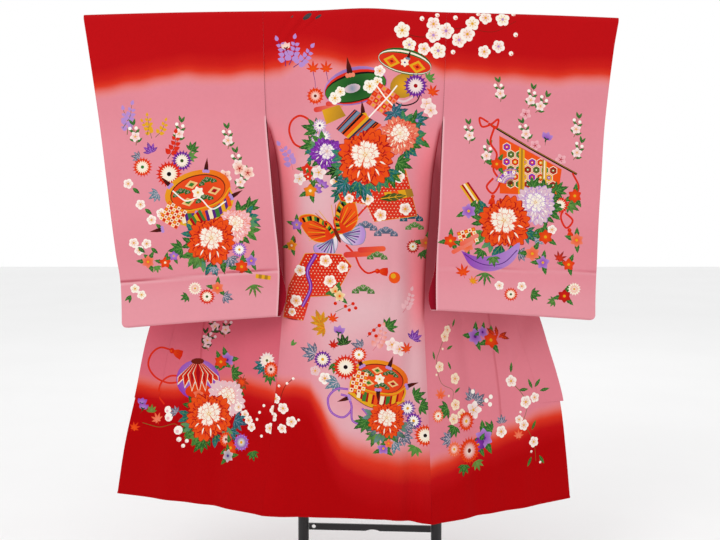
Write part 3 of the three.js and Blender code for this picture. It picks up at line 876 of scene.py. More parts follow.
def lobed(start, end, width, lobes, depth, count=19):
    """A broad petal along +x whose far edge has rounded lobes."""
    t = np.linspace(-1, 1, count)
    reach = end * (1 - 0.16 * t ** 2) * (1 - depth * (1 - np.abs(np.cos(0.5 * math.pi * lobes * t))))
    spread = width * t
    fan = np.stack([reach * np.cos(spread), reach * np.sin(spread)], 1)
    return np.concatenate([[(start, 0.0)], fan])


def peony(design, x, y, size=30.0, outer="orange", deep="scarlet", edge="orange_red", core="cream",
          core_deep="salmon", core_edge="white", turn=0.0):
    """Full peony: three rings of ragged streaked petals with thin pale edges, and a loose pale heart."""
    spot = Spot(design, x, y, size, turn)
    shade = "crimson" if deep == "scarlet" else deep
    for count, end, width, first in ((7, 1.0, 0.60, 0), (7, 0.82, 0.56, 28), (5, 0.62, 0.62, 6)):
        for k in range(count):
            reach = end * (1 + 0.12 * math.sin(2.3 * k + first))
            angle = first + 360 * k / count + 9 * math.sin(1.7 * k)
            spot.fill(turned(lobed(0.05, reach + 0.025, width, 4, 0.15), angle), shade)
            spot.fill(turned(lobed(0.05, reach, width - 0.06, 4, 0.15), angle), deep, outer, reach)
            for lean in (-9, 10):
                spot.fill(turned(petal(0.45 * reach, 0.88 * reach, 0.03, 0.0, 4), angle + lean), edge)
    for angle, reach, lean in ((56, 0.80, 10), (88, 0.88, -4), (122, 0.80, -12), (22, 0.74, 14),
                               (156, 0.74, -16)):
        blade = petal(0.50, reach, 0.032, 0.0, 6, 0.6)
        blade[:, 1] += 0.5 * math.sin(math.radians(lean)) * ((blade[:, 0] - 0.5) / 0.4) ** 2
        spot.fill(turned(blade, angle), "cream", core_edge)
    heart = spot.at(-0.02, -0.10)
    for count, end, width, first in ((8, 0.52, 0.33, 0), (7, 0.42, 0.34, 30), (5, 0.28, 0.40, 10)):
        for k in range(count):
            reach = end * (1 + 0.14 * math.sin(3.1 * k + first))
            angle = first + 360 * k / count + 9 * math.sin(2.1 * k + first)
            heart.fill(turned(lobed(0.0, reach + 0.026, width + 0.05, 3, 0.14, 13), angle), core_deep)
            heart.fill(turned(lobed(0.0, reach, width, 3, 0.14, 13), angle), core, core_edge, end)
    for k in range(4):
        heart.dot(0.06 * math.cos(k * 1.57), 0.06 * math.sin(k * 1.57), 0.028, "gold", 5)


def leaf(design, x, y, size=12.0, turn=0.0, colour="green", tip="dark_green", vein="leaf", width=0.24,
         hand=1):
    """Pointed leaf from its stalk along its turn, saw-edged, with a midrib and side veins."""
    spot = Spot(design, x, y, size, turn, hand)
    shape = petal(0.0, 1.0, width, 0.0, 10, 0.56)
    shape[2:-1:2, 1] *= 0.80
    spot.fill(shape, colour, tip)
    spot.line([(0.04, 0), (0.9, 0)], 0.04, vein, 0.015, False)
    for k in (0.30, 0.55):
        for side in (-1, 1):
            spot.line([(k, 0), (k + 0.14, side * width * 0.60)], 0.026, vein, 0.01, False)


def leaves(design, x, y, size=14.0, turn=0.0, colour="green", tip="dark_green", vein="leaf", count=5,
           spread=34):
    """A fan of pointed leaves from one stalk, the outer ones shorter, dark under light."""
    order = sorted(range(count), key=lambda k: -abs(k - (count - 1) / 2))
    for k in order:
        off = k - (count - 1) / 2
        leaf(design, x, y, size * (1 - 0.13 * abs(off)), turn + spread * off, tip if k % 2 else colour,
             colour if k % 2 else tip, vein, 0.19)


def wreath(design, x, y, reach, size, start, end, count, tones=("green", "dark_green", "teal", "leaf")):
    """Pairs of leaves pointing outwards along an arc round a flower, in changing greens."""
    for k in range(count):
        angle = start + (end - start) * k / max(count - 1, 1)
        radians = math.radians(angle)
        foot = x + reach * math.cos(radians), y + reach * math.sin(radians)
        near, far = tones[k % len(tones)], tones[(k + 1) % len(tones)]
        for lean in (-24, 20):
            leaf(design, *foot, size * (1 + 0.12 * math.sin(2.6 * k)), angle + lean + 9 * math.sin(1.9 * k),
                 near, far, "leaf" if near != "leaf" else "dark_green", 0.22)


def spray(design, x, y, size=26.0, turn=-90.0, colour="lilac", stem="olive", pairs=4, bend=0.18, tip=None):
    """A bending stem with pairs of small oval leaflets and one at its end."""
    spot = Spot(design, x, y, size, turn)
    stalk = [(0, 0), (0.5, bend * 0.7), (1.0, bend * 0.2)]
    path = smooth_line(stalk, 8)
    spot.line(stalk, 0.030, stem, 0.016)
    for k in range(pairs):
        foot = path[int((k + 1) * (len(path) - 1) / (pairs + 1))]
        for side in (-1, 1):
            small = spot.at(*foot, 0.30 - 0.035 * k, side * 54)
            small.fill(petal(0.08, 1.0, 0.34, 0.0, 8, 0.7), colour, tip or colour)
    last = spot.at(*path[-1], 0.20, 0)
    last.fill(petal(-0.1, 1.0, 0.36, 0.0, 8, 0.7), colour, tip or colour)


def flower(design, x, y, size=6.0, colour="orange", tip=None, heart="gold", count=5, turn=0.0, leafy=True):
    """A small open flower with round petals, over a few dark leaves."""
    spot = Spot(design, x, y, size, turn)
    if leafy:
        for angle in (35 + 5 * x % 60, 150 + 3 * y % 50, 265 + 7 * x % 40):
            leaf(design, x, y, 1.75 * size, angle, "dark_green", "green", "leaf", 0.20)
    ring_of(spot, count, 0.0, 1.0, 0.40, colour, tip or colour, 0.06, -90, 8, 0.8)
    spot.dot(0, 0, 0.2, heart, 6)


def sprig(design, x, y, size=30.0, turn=-90.0, colour="white", inner="pale_pink", deep="dark_green"):
    """A leafy twig with one open white blossom and two buds."""
    spot = Spot(design, x, y, size, turn)
    spot.line([(0, 0), (0.45, 0.10), (1.0, -0.04)], 0.035, "olive", 0.02)
    for place, angle in ((0.12, 60), (0.20, -65), (0.52, 48), (0.60, -50), (0.95, 20), (0.98, -28)):
        foot = spot.at(place, 0.06).centre
        leaf(design, *foot, 0.36 * size, turn + angle, deep, "green" if deep == "dark_green" else deep,
             "leaf", 0.20)
    cherry(design, *spot.at(0.42, 0.04).centre, 0.30 * size, inner, colour, "gold", turn)
    for place, aside in ((0.82, 0.16), (0.86, -0.14)):
        spot.dot(place, aside, 0.085, colour, 8)


def bellflower(design, x, y, size=9.0, turn=-90.0, colour="white", tip="white", leafy="dark_green"):
    """A side-seen blossom: three upright petals in a green cup, on a short stalk with a leaf."""
    spot = Spot(design, x, y, size, turn)
    for angle in (-42, 42, 0):
        spot.fill(turned(petal(0.0, 1.0, 0.33), angle), colour, tip)
    for angle in (-60, 60, 180):
        spot.fill(turned(petal(-0.05, 0.42, 0.10, 0.0, 5), angle), leafy)
    spot.line([(-0.1, 0), (-0.75, 0.16)], 0.06, leafy, 0.03)


def plum_branch(design, points, flowers, buds, colour, stem, size):
    """A branch with blossoms and buds; each flower is (x, y, share of size)."""
    stroke(design, points, 1.3, stem, 0.7)
    for x, y in buds:
        bead(design, x, y, 0.30 * size, colour, 9)
        bead(design, x + 0.1 * size, y + 0.14 * size, 0.13 * size, "pale_pink", 6)
    for k, (x, y, share) in enumerate(flowers):
        plum(design, x, y, size * share, "pale_pink", colour, "gold", 31 * k)


def maple(design, x, y, size=10.0, turn=-90.0, colour="orange", tip="scarlet"):
    """Maple leaf: seven narrow points round its stalk."""
    spot = Spot(design, x, y, size, turn)
    for angle, reach in ((-130, 0.45), (130, 0.45), (-80, 0.75), (80, 0.75), (-40, 0.92), (40, 0.92),
                         (0, 1.0)):
        spot.fill(turned(petal(0.0, reach, 0.14, 0.0, 5), angle), colour, tip)
    spot.line([(0, 0), (-0.55, 0.08)], 0.06, tip, 0.04)


def bamboo(design, x, y, size=20.0, turn=90.0, colour="green", tip="olive"):
    """Five bamboo leaves fanning down from one joint."""
    for off in range(-2, 3):
        leaf(design, x, y, size * (1 - 0.10 * abs(off)), turn + 31 * off, colour, tip, "leaf", 0.10)


def pine(design, x, y, size=12.0, colour="blue_grey", deep="navy", turn=0.0):
    """Pine crown: a flat-bottomed cloud of five lobes with fine rays."""
    spot = Spot(design, x, y, size, turn)
    lobes = ((-0.72, 0.02, 0.34), (0.72, 0.02, 0.34), (-0.36, -0.20, 0.36), (0.36, -0.20, 0.36),
             (0.0, -0.34, 0.38))
    for cx, cy, radius in lobes:
        t = np.linspace(math.pi, 2 * math.pi, 9)
        shape = np.stack([cx + radius * np.cos(t), cy + radius * np.sin(t)], 1)
        shape = np.concatenate([shape, [(cx + radius, cy + 0.12), (cx - radius, cy + 0.12)]])
        spot.fill(shape, colour, deep, 0.8, (cx, cy - radius))
        for k in range(1, 4):
            ray = math.pi + math.pi * k / 4
            end = (cx + 0.88 * radius * math.cos(ray), cy + 0.88 * radius * math.sin(ray))
            spot.line([(cx, cy + 0.06), end], 0.022, "pale", 0.03, False, 0.7)


def cord(design, points, width=2.6, colour="scarlet", light="orange_red"):
    """A twisted cord: a dark line with a lighter one along its middle."""
    stroke(design, points, width, colour)
    stroke(design, points, width * 0.26, light)


def tassel(design, x, y, size=13.0, turn=90.0):
    """A cord's end: a ball, a neck and a full skirt of threads."""
    spot = Spot(design, x, y, size, turn)
    skirt = [(0.25, -0.14), (0.6, -0.34), (1.05, -0.40), (1.12, 0.0), (1.05, 0.40), (0.6, 0.34),
             (0.25, 0.14)]
    spot.fill(skirt, "orange", "scarlet")
    for off in (-0.22, -0.08, 0.08, 0.22):
        spot.line([(0.4, off * 0.7), (1.05, off * 1.4)], 0.035, "scarlet", None, False)
    spot.dot(0.12, 0, 0.24, "scarlet", 10)
    spot.dot(0.06, -0.05, 0.09, "orange", 6)


def cone(design, x, y, size=22.0, turn=-90.0, base="lilac", dark="black"):
    """A pointed peg in a petalled socket."""
    spot = Spot(design, x, y, size, turn)
    spot.fill([(0.0, -0.17), (0.45, -0.13), (1.0, 0.0), (0.45, 0.13), (0.0, 0.17)], dark, "brown")
    for off in (-0.16, 0.0, 0.16):
        spot.fill(oval(0.13, 0.11, 8, 0.0, off), base)


def drum(design, x, y, width=60.0, height=44.0, turn=-12.0, rim="gold", face="orange_red", inside="orange",
         band="violet"):
    """A festive hand drum seen aslant: a thick rim, a painted head with pines and lozenges, and its side."""
    spot = Spot(design, x, y, 1.0, turn)
    a, b = width / 2, height / 2
    spot.fill(oval(a, b * 0.82, 26, 0, b * 0.30), "ochre", rim, a)
    spot.fill(oval(a * 0.93, b * 0.72, 26, 0, b * 0.26), band)
    for k in range(-4, 5):
        foot = a * 0.205 * k
        depth = b * 0.78 * math.sqrt(max(0.0, 1 - (foot / a) ** 2))
        spot.fill([(foot - 4, depth * 0.2), (foot + 4, depth * 0.2), (foot + 3.4, depth + b * 0.22),
                   (foot - 3.4, depth + b * 0.22)], ("orange", "cream", "green", "gold")[k % 4])
    spot.fill(oval(a, b * 0.74, 28, 0, -b * 0.14), rim, "orange", 2.4 * a, (-a, -b))
    spot.fill(oval(a * 0.84, b * 0.60, 28, 0, -b * 0.12), "brown")
    spot.fill(oval(a * 0.81, b * 0.57, 28, 0, -b * 0.11), face, inside, a)
    for k in range(6):
        angle = math.radians(15 + 60 * k)
        px, py = 0.50 * a * math.cos(angle), -0.10 * b + 0.34 * b * math.sin(angle)
        place = spot.at(px, py).centre
        if k % 2:
            pine(design, *place, 0.26 * a, "green", "dark_green", turn)
        else:
            lozenge = np.array([(-0.2, 0), (0, -0.13), (0.2, 0), (0, 0.13)]) * a
            Spot(design, *place, 1.0, turn).fill(lozenge, "gold", "cream", 0.3 * a)
            Spot(design, *place, 0.5, turn).fill(lozenge, "green" if k else "crimson")
    flower(design, *spot.at(0, -0.10 * b).centre, 0.20 * a, "cream", "white", "gold", 6, turn, False)
    spot.line([(-a * 0.97, b * 0.02), (-a * 0.5, b * 0.42), (a * 0.5, b * 0.42), (a * 0.97, b * 0.02)], 2.2,
              "gold", None)


def checks(design, x, y, columns, rows, cell=5.0, turn=30.0,
           colours=("orange_red", "cream", "gold", "crimson")):
    """A slanting patch of checks with a small square in each."""
    spot = Spot(design, x, y, cell, turn)
    for i in range(columns):
        for j in range(rows):
            square = np.array([(0, 0), (1, 0), (1, 1), (0, 1)]) + [i - columns / 2, j - rows / 2]
            spot.fill(square, colours[(i + j) % 2])
            inner = (square - square.mean(0)) * 0.45 + square.mean(0)
            spot.fill(inner, colours[2 + (i + 2 * j) % 2])


def hexagons(design, corners, cell=7.5):
    """A cloth of framed hexagons filling a four-cornered patch, in four colours."""
    p = np.asarray(corners, float)
    design.add(p, "orange")
    low, high = p.min(0), p.max(0)
    shades = ("crimson", "gold", "olive", "purple", "green", "scarlet")
    rows = int((high[1] - low[1]) / (1.5 * cell)) + 1
    columns = int((high[0] - low[0]) / (1.74 * cell)) + 1
    for j in range(rows):
        for i in range(columns):
            centre = low + [(i + 0.5 * (j % 2) + 0.4) * 1.74 * cell, (j + 0.5) * 1.5 * cell]
            if not within(centre[None], p, 0.75 * cell)[0]:
                continue
            t = np.radians(30 + 60 * np.arange(6))
            hexagon = np.stack([np.cos(t), np.sin(t)], 1)
            design.add(centre + hexagon * cell * 0.94, "cream")
            design.add(centre + hexagon * cell * 0.78, shades[(2 * i + 3 * j) % 6])
            design.add(centre + hexagon * cell * 0.40, shades[(2 * i + 3 * j + 2) % 6])
            design.add(centre + hexagon * cell * 0.18, "cream")


def within(points, corners, inset=0.0):
    """Which points lie inside a convex outline by at least an inset."""
    p = np.asarray(turned_left(corners, list(range(len(corners)))))
    p = np.asarray(corners)[p]
    ahead = np.roll(p, -1, 0) - p
    away = points[:, None, :] - p[None, :, :]
    cross = ahead[None, :, 0] * away[:, :, 1] - ahead[None, :, 1] * away[:, :, 0]
    return (cross / np.linalg.norm(ahead, axis=1) >= inset).all(1)


def dappled(design, corners):
    """A tie-dyed cloth: a red patch with rows of small pale dots and a gold edge."""
    p = np.asarray(corners, float)
    middle = p.mean(0)
    step = 6.4
    design.add(p + np.sign(p - middle) * 0.8, "gold")
    design.add(p, "scarlet", "orange_red", tuple(p[0]), along=tuple(p[len(p) // 2] - p[0]))
    low, high = p.min(0), p.max(0)
    i, j = np.meshgrid(np.arange(low[0], high[0], step), np.arange(low[1], high[1], step * 0.86))
    i = i + (np.arange(len(i)) % 2)[:, None] * step / 2
    places = np.stack([i.ravel(), j.ravel()], 1)
    inside = np.zeros(len(places), bool)
    for k in range(1, len(p) - 1):
        inside |= within(places, p[[0, k, k + 1]], 0.6)
    for place in places[inside]:
        design.add(place + oval(1.1, 1.1, 5), "cream")
        design.add(place + oval(0.5, 0.5, 4), "crimson")


def folding_fan(design, x, y, size=34.0, turn=-90.0, spread=118,
                colours=("orange", "gold", "cream", "green")):
    """An open folding fan: radiating painted leaves over thin ribs that meet at its rivet."""
    spot = Spot(design, x, y, size, turn)
    count = 13
    for k in range(count):
        angle = -spread / 2 + spread * (k + 0.5) / count
        spot.line(turned(np.array([[0.0, 0.0], [0.5, 0.0]]), angle), 0.022, "brown", None, False)
        half = math.radians(spread / count / 2)
        tone = colours[k % 2]
        blade = [(r * math.cos(a), r * math.sin(a)) for r, a in
                 ((0.40, -half), (1.0, -half), (1.03, 0.0), (1.0, half), (0.40, half))]
        spot.fill(turned(np.array(blade), angle), tone)
        spot.fill(turned(np.array([(0.44, 0), (0.60, half * 0.5), (0.60, -half * 0.5)]), angle), colours[2])
    t = np.radians(np.linspace(-spread / 2, spread / 2, 15))
    for near, far, tone in ((0.90, 0.96, colours[3]), (0.66, 0.70, colours[2])):
        arc = np.stack([np.cos(t), np.sin(t)], 1)
        band = np.concatenate([arc * far, (arc * near)[::-1]])
        spot.fill(band, tone)
    for angle in (-38, 0, 38):
        place = spot.at(0.80 * math.cos(math.radians(angle)), 0.80 * math.sin(math.radians(angle)))
        plum(design, *place.centre, size * 0.12, "pale_pink", "white", "gold", angle)
    spot.dot(0, 0, 0.05, "gold", 7)


def ball(design, x, y, size=20.0, turn=0.0):
    """Thread ball: a round with pointed segments that meet at its top."""
    spot = Spot(design, x, y, size, turn)
    spot.fill(oval(1.0, 0.92, 24), "lilac", "purple", 1.1, (0, -0.2))
    spot.fill(oval(0.62, 0.36, 16, 0, 0.52), "orange", "scarlet")
    for k in (-3, 3, -2, 2, -1, 1, 0):
        lean = k * 0.31
        tip = (lean * 1.02, 0.62 - 0.16 * abs(k))
        width = 0.21 - 0.02 * abs(k)
        for grow, tone in ((0.04, "cream"), (0.0, "orange_red" if k % 2 else "scarlet"), (-0.11, "crimson")):
            middle = -0.30 + 0.05 * abs(k)
            blade = [(lean * 0.15, -0.84), (lean * 0.80 + width + grow, middle), (tip[0], tip[1] + 2 * grow),
                     (lean * 0.80 - width - grow, middle)]
            spot.fill(blade, tone)
    spot.fill(oval(0.30, 0.14, 10, 0, -0.84), "brown")
    flower(design, *spot.at(0.02, 0.66).centre, size * 0.26, "orange", "salmon", "cream", 5, 0.0,
                 False)


def stripes(design, corners, count, colours):
    """A four-cornered patch of bands along its first side."""
    a, b, c, d = (np.asarray(corner, float) for corner in corners)
    for k in range(count):
        s, t = k / count, (k + 1) / count
        design.add([mix(a, b, s), mix(a, b, t), mix(d, c, t), mix(d, c, s)], colours[k % len(colours)])


def cloud(design, x, y, size=30.0, colour="orange_red", tip="orange", turn=0.0, cover=0.92):
    """A drifting band of mist: two stepped rounded bars."""
    spot = Spot(design, x, y, size, turn)
    for cx, cy, half, height in ((-0.3, 0.12, 0.75, 0.16), (0.35, -0.10, 0.62, 0.15)):
        t = np.linspace(-math.pi / 2, math.pi / 2, 7)
        right = np.stack([cx + half + height * np.cos(t), cy + height * np.sin(t)], 1)
        left = np.stack([cx - half - height * np.cos(t), cy - height * np.sin(t)], 1)
        first, last = spot.put([(cx - half, cy), (cx + half, cy)])
        design.add(spot.put(np.concatenate([right, left])), colour, tip, first, last - first, cover=cover)


def butterfly(design, x, y, size=40.0, turn=0.0):
    """Butterfly with open wings, striped fore edges, pale striped hind wings and curled feelers."""
    for hand in (-1, 1):
        half = Spot(design, x, y, size, turn * hand, hand)
        hind = smooth_line([(0.05, 0.1), (0.42, 0.14), (0.92, 0.10), (1.0, 0.40), (0.76, 0.72), (0.40, 0.66),
                            (0.14, 0.42), (0.05, 0.1)], 4)[:-1]
        fore = smooth_line([(0.02, 0.02), (0.14, -0.44), (0.52, -0.96), (1.02, -1.06), (1.06, -0.56),
                            (0.86, -0.06), (0.40, 0.16), (0.02, 0.02)], 4)[:-1]
        for shape, tone, far, rim in ((hind, "white", "lilac", "blue_grey"),
                                      (fore, "scarlet", "orange", "gold")):
            middle = shape.mean(0)
            half.fill(middle + (shape - middle) * 1.05, rim)
            half.fill(shape, tone, far)
        for k in range(7):
            angle = math.radians(8 + 9.5 * k)
            tip = (0.88 * math.cos(angle), 0.10 + 0.62 * math.sin(angle))
            half.line([(0.2, 0.14), tip], 0.035, "violet" if k % 2 else "blue_grey", 0.05, False)
        for k in range(9):
            angle = math.radians(-8 - 8.5 * k)
            root = (0.42 * math.cos(angle), 0.42 * math.sin(angle))
            tip = (1.06 * math.cos(angle), 1.06 * math.sin(angle))
            half.line([root, tip], 0.03, "crimson" if k % 2 else "gold", 0.02, False)
        edge = smooth_line([(0.06, -0.06), (0.16, -0.44), (0.50, -0.90), (0.96, -1.02)], 5)
        for k in range(len(edge) - 1):
            inner = edge[k:k + 2] * 0.84 + np.array([0.14, 0.02])
            half.fill([*edge[k:k + 2], inner[1], inner[0]], ("green", "gold", "black")[k % 3])
        half.line([(0.03, -0.08), (0.08, -0.40), (0.20, -0.56), (0.27, -0.44), (0.19, -0.38)], 0.05,
                  "scarlet")
    Spot(design, x, y, size, turn).fill(oval(0.07, 0.30, 10, 0, 0.1), "brown")


def fan_band(design, x, y, width, height, turn, rings=(("green", "dark_green"), ("cream", "white"),
                                                       ("dark_green", "green"), ("scarlet", "orange_red")),
             lozenges=2):
    """A drum head seen nearly from its edge: a pointed oval of coloured rings with gold lozenges."""
    spot = Spot(design, x, y, 1.0, turn)
    for grow, (tone, far) in zip((1.0, 0.84, 0.70, 0.60), rings):
        t = np.linspace(0, math.pi, 13)
        half = 0.5 * width * (0.92 + 0.08 * grow) * np.cos(t)
        upper = np.stack([half, -0.5 * height * np.sin(t) * grow], 1)
        lower = np.stack([half, 0.42 * height * np.sin(t) * grow ** 0.5], 1)[::-1]
        spot.fill(np.concatenate([upper, lower[1:-1]]), tone, far, width / 2)
    for k in range(lozenges):
        for size, tone in ((0.12, "gold"), (0.07, "orange"), (0.03, "crimson")):
            lozenge = np.array([(-1.3, 0), (0, -1), (1.3, 0), (0, 1)]) * size * width
            spot.fill(lozenge + [(0.48 * k - 0.24) * width, 0.06 * height], tone)
    if lozenges:
        flower(design, x, y, 0.09 * width, "white", "cream", "violet", 6, 0.0, False)
        cone(design, *spot.at(0.04 * width, -0.16 * height).centre, 17, -84 + turn, "blue_grey", "black")


# Tones of leaves and flowers
BLUSH = ("pale_pink", "white", "gold")
CORAL = ("salmon", "white", "gold")
IVORY = ("cream", "white", "gold")
SLATE = ("blue_grey", "navy", "pale")
MIST = ("blue_grey", "teal", "pale")
SEA = ("teal", "dark_green", "blue_grey")
INK = ("teal", "navy", "blue_grey")
POND = ("teal", "dark_green")
MOSS = ("leaf", "dark_green")
GRASS = ("leaf", "green")
IRIS = ("purple", "violet", "lilac")
FLAME = ("orange", "scarlet", "gold", 6)
PEACH = ("orange", "salmon", "gold", 6)
VIOLET = ("purple", "lilac", "violet", 6)
PANSY = ("purple", "lilac", "gold", 6)
ASTER = ("purple", "lilac", "gold", 5)
LILAC = ("lilac", "purple", "gold", 5)
RUSSET = ("orange", "scarlet", "orange", "brown", 14)


def lay(design, figure, rows, *tones):
    """Lay one kind of figure at each row's place, size and turn, all in the same tones."""
    for row in rows:
        figure(design, *row, *tones)


def left_sleeve(d):
    """Figures of the left sleeve, seen from behind."""
    for x, s, turn in ((-412, 226, -100), (-420, 214, -70)):
        spray(d, x, s, 46, turn)
    for x, s, turn in ((-367, 234, -120), (-360, 232, -60), (-376, 228, -90)):
        spray(d, x, s, 35, turn, "gold", "olive", 3)
    for x, s, turn in ((-396, 246, -100), (-321, 242, -80), (-227, 256, -95), (-214, 330, -60),
                       (-208, 300, -100)):
        sprig(d, x, s, 38, turn)
    spray(d, -338, 272, 49, -75, "orange_red", "brown", 4, 0.2, "scarlet")
    leaves(d, -295, 258, 20, -60)
    leaves(d, -300, 268, 18, 10, *GRASS)
    leaves(d, -368, 260, 21, -110, *IRIS)
    leaves(d, -390, 268, 17, 190, *SLATE)
    for x, s in ((-412, 316), (-390, 355), (-370, 384), (-352, 372), (-394, 440), (-380, 428), (-404, 426)):
        plum(d, x, s, 9.5, turn=x)
        leaf(d, x + 8, s + 8, 17, 40)
    leaves(d, -357, 335, 21, 150, *MIST)
    chrysanthemum(d, -385, 286, 19, "orange", "scarlet", "cream", "green")
    chrysanthemum(d, -312, 276, 20, "purple", "violet")
    chrysanthemum(d, -336, 300, 25, "orange_red", "scarlet", "cream", "black", 20)
    for x, s, turn in ((-206, 292, -70), (-233, 306, -100), (-191, 300, -30)):
        cherry(d, x, s, 15, "salmon", "white", "crimson", turn)
    drum(d, -282, 340, 124, 104, -14)
    stroke(d, [(-330, 331), (-306, 350), (-281, 345), (-258, 366), (-232, 352)], 2.4, "white")
    checks(d, -330, 376, 6, 6, 6.4, 32, ("orange", "cream", "gold", "crimson"))
    for x, s, turn in ((-268, 296, -84), (-334, 322, -135), (-222, 344, -30), (-283, 372, 100),
                       (-350, 402, 170)):
        cone(d, x, s, 25, turn)
    stripes(d, ((-304, 388), (-280, 366), (-264, 396), (-290, 410)), 6, ("gold", "crimson", "green"))
    leaves(d, -193, 366, 28, -40, "green", "dark_green", "leaf", 3, 36)
    leaves(d, -189, 388, 25, 30, *POND)
    lay(d, wreath, ((-216, 396, 22, 26, -70, 60, 5), (-258, 430, 34, 28, 60, 210, 6)))
    peony(d, -216, 396, 31, "pale_pink", "salmon", "white", "cream", "salmon", "white", 20)
    leaves(d, -314, 438, 28, 170)
    leaves(d, -285, 452, 28, 110, *MOSS)
    leaves(d, -226, 456, 25, 70, *SLATE)
    peony(d, -260, 424, 44, turn=8)
    chrysanthemum(d, -208, 442, 15, "lilac", "purple", "white", "gold", 16)
    flower(d, -378, 462, 13, *PEACH)
    flower(d, -346, 464, 12, "orange", "scarlet", "cream")
    flower(d, -204, 474, 14, *FLAME)
    flower(d, -186, 463, 12, *ASTER)
    leaves(d, -255, 474, 17, 100, *MIST)
    leaves(d, -362, 470, 14, 80, *GRASS)
    flower(d, -330, 452, 10, *LILAC)
    for x, s, turn in ((-404, 512, 0), (-392, 524, 30)):
        plum(d, x, s, 9, *IVORY, turn)
    leaves(d, -412, 524, 17, 120, "green", "dark_green", "leaf", 2)
    chrysanthemum(d, -292, 514, 13, "cream", "white", "salmon", "gold", 16)
    chrysanthemum(d, -270, 530, 16, "orange_red", "scarlet", "cream", "dark_green", 16)
    flower(d, -250, 514, 13, *PEACH)
    leaves(d, -239, 530, 20, 20, *SLATE)
    leaves(d, -306, 528, 16, 150)
    stripes(d, ((-178, 488), (-150, 492), (-151, 500), (-179, 496)), 5, ("gold", "ochre"))
    bamboo(d, -183, 508, 26, 80)


def shoulder_plums(d):
    """Plum branch over the right shoulder."""
    stroke(d, [(92, 44), (128, 52), (160, 44), (205, 34), (258, 40), (300, 20)], 1.4, "brown", 0.6)
    for x, s in ((186, 78), (157, 12), (129, 19), (190, 16), (232, 8), (296, 6), (292, 78), (300, 44)):
        bead(d, x, s, 4.2, "white", 9)
        bead(d, x + 1.2, s + 1.6, 1.7, "salmon", 6)
    for k, (x, s, size) in enumerate(((106, 66, 13), (133, 73, 12), (150, 48, 14), (221, 26, 13),
                                      (197, 56, 14), (245, 15, 12), (276, 17, 13), (243, 76, 12),
                                      (269, 66, 12), (93, 40, 15), (173, 40, 15), (150, 28, 13),
                                      (159, 76, 15), (212, 45, 14))):
        heart = "gold" if k % 2 else "lilac"
        plum(d, x, s, size, "pale_pink" if k % 3 else "cream", "white", heart, 23 * k)


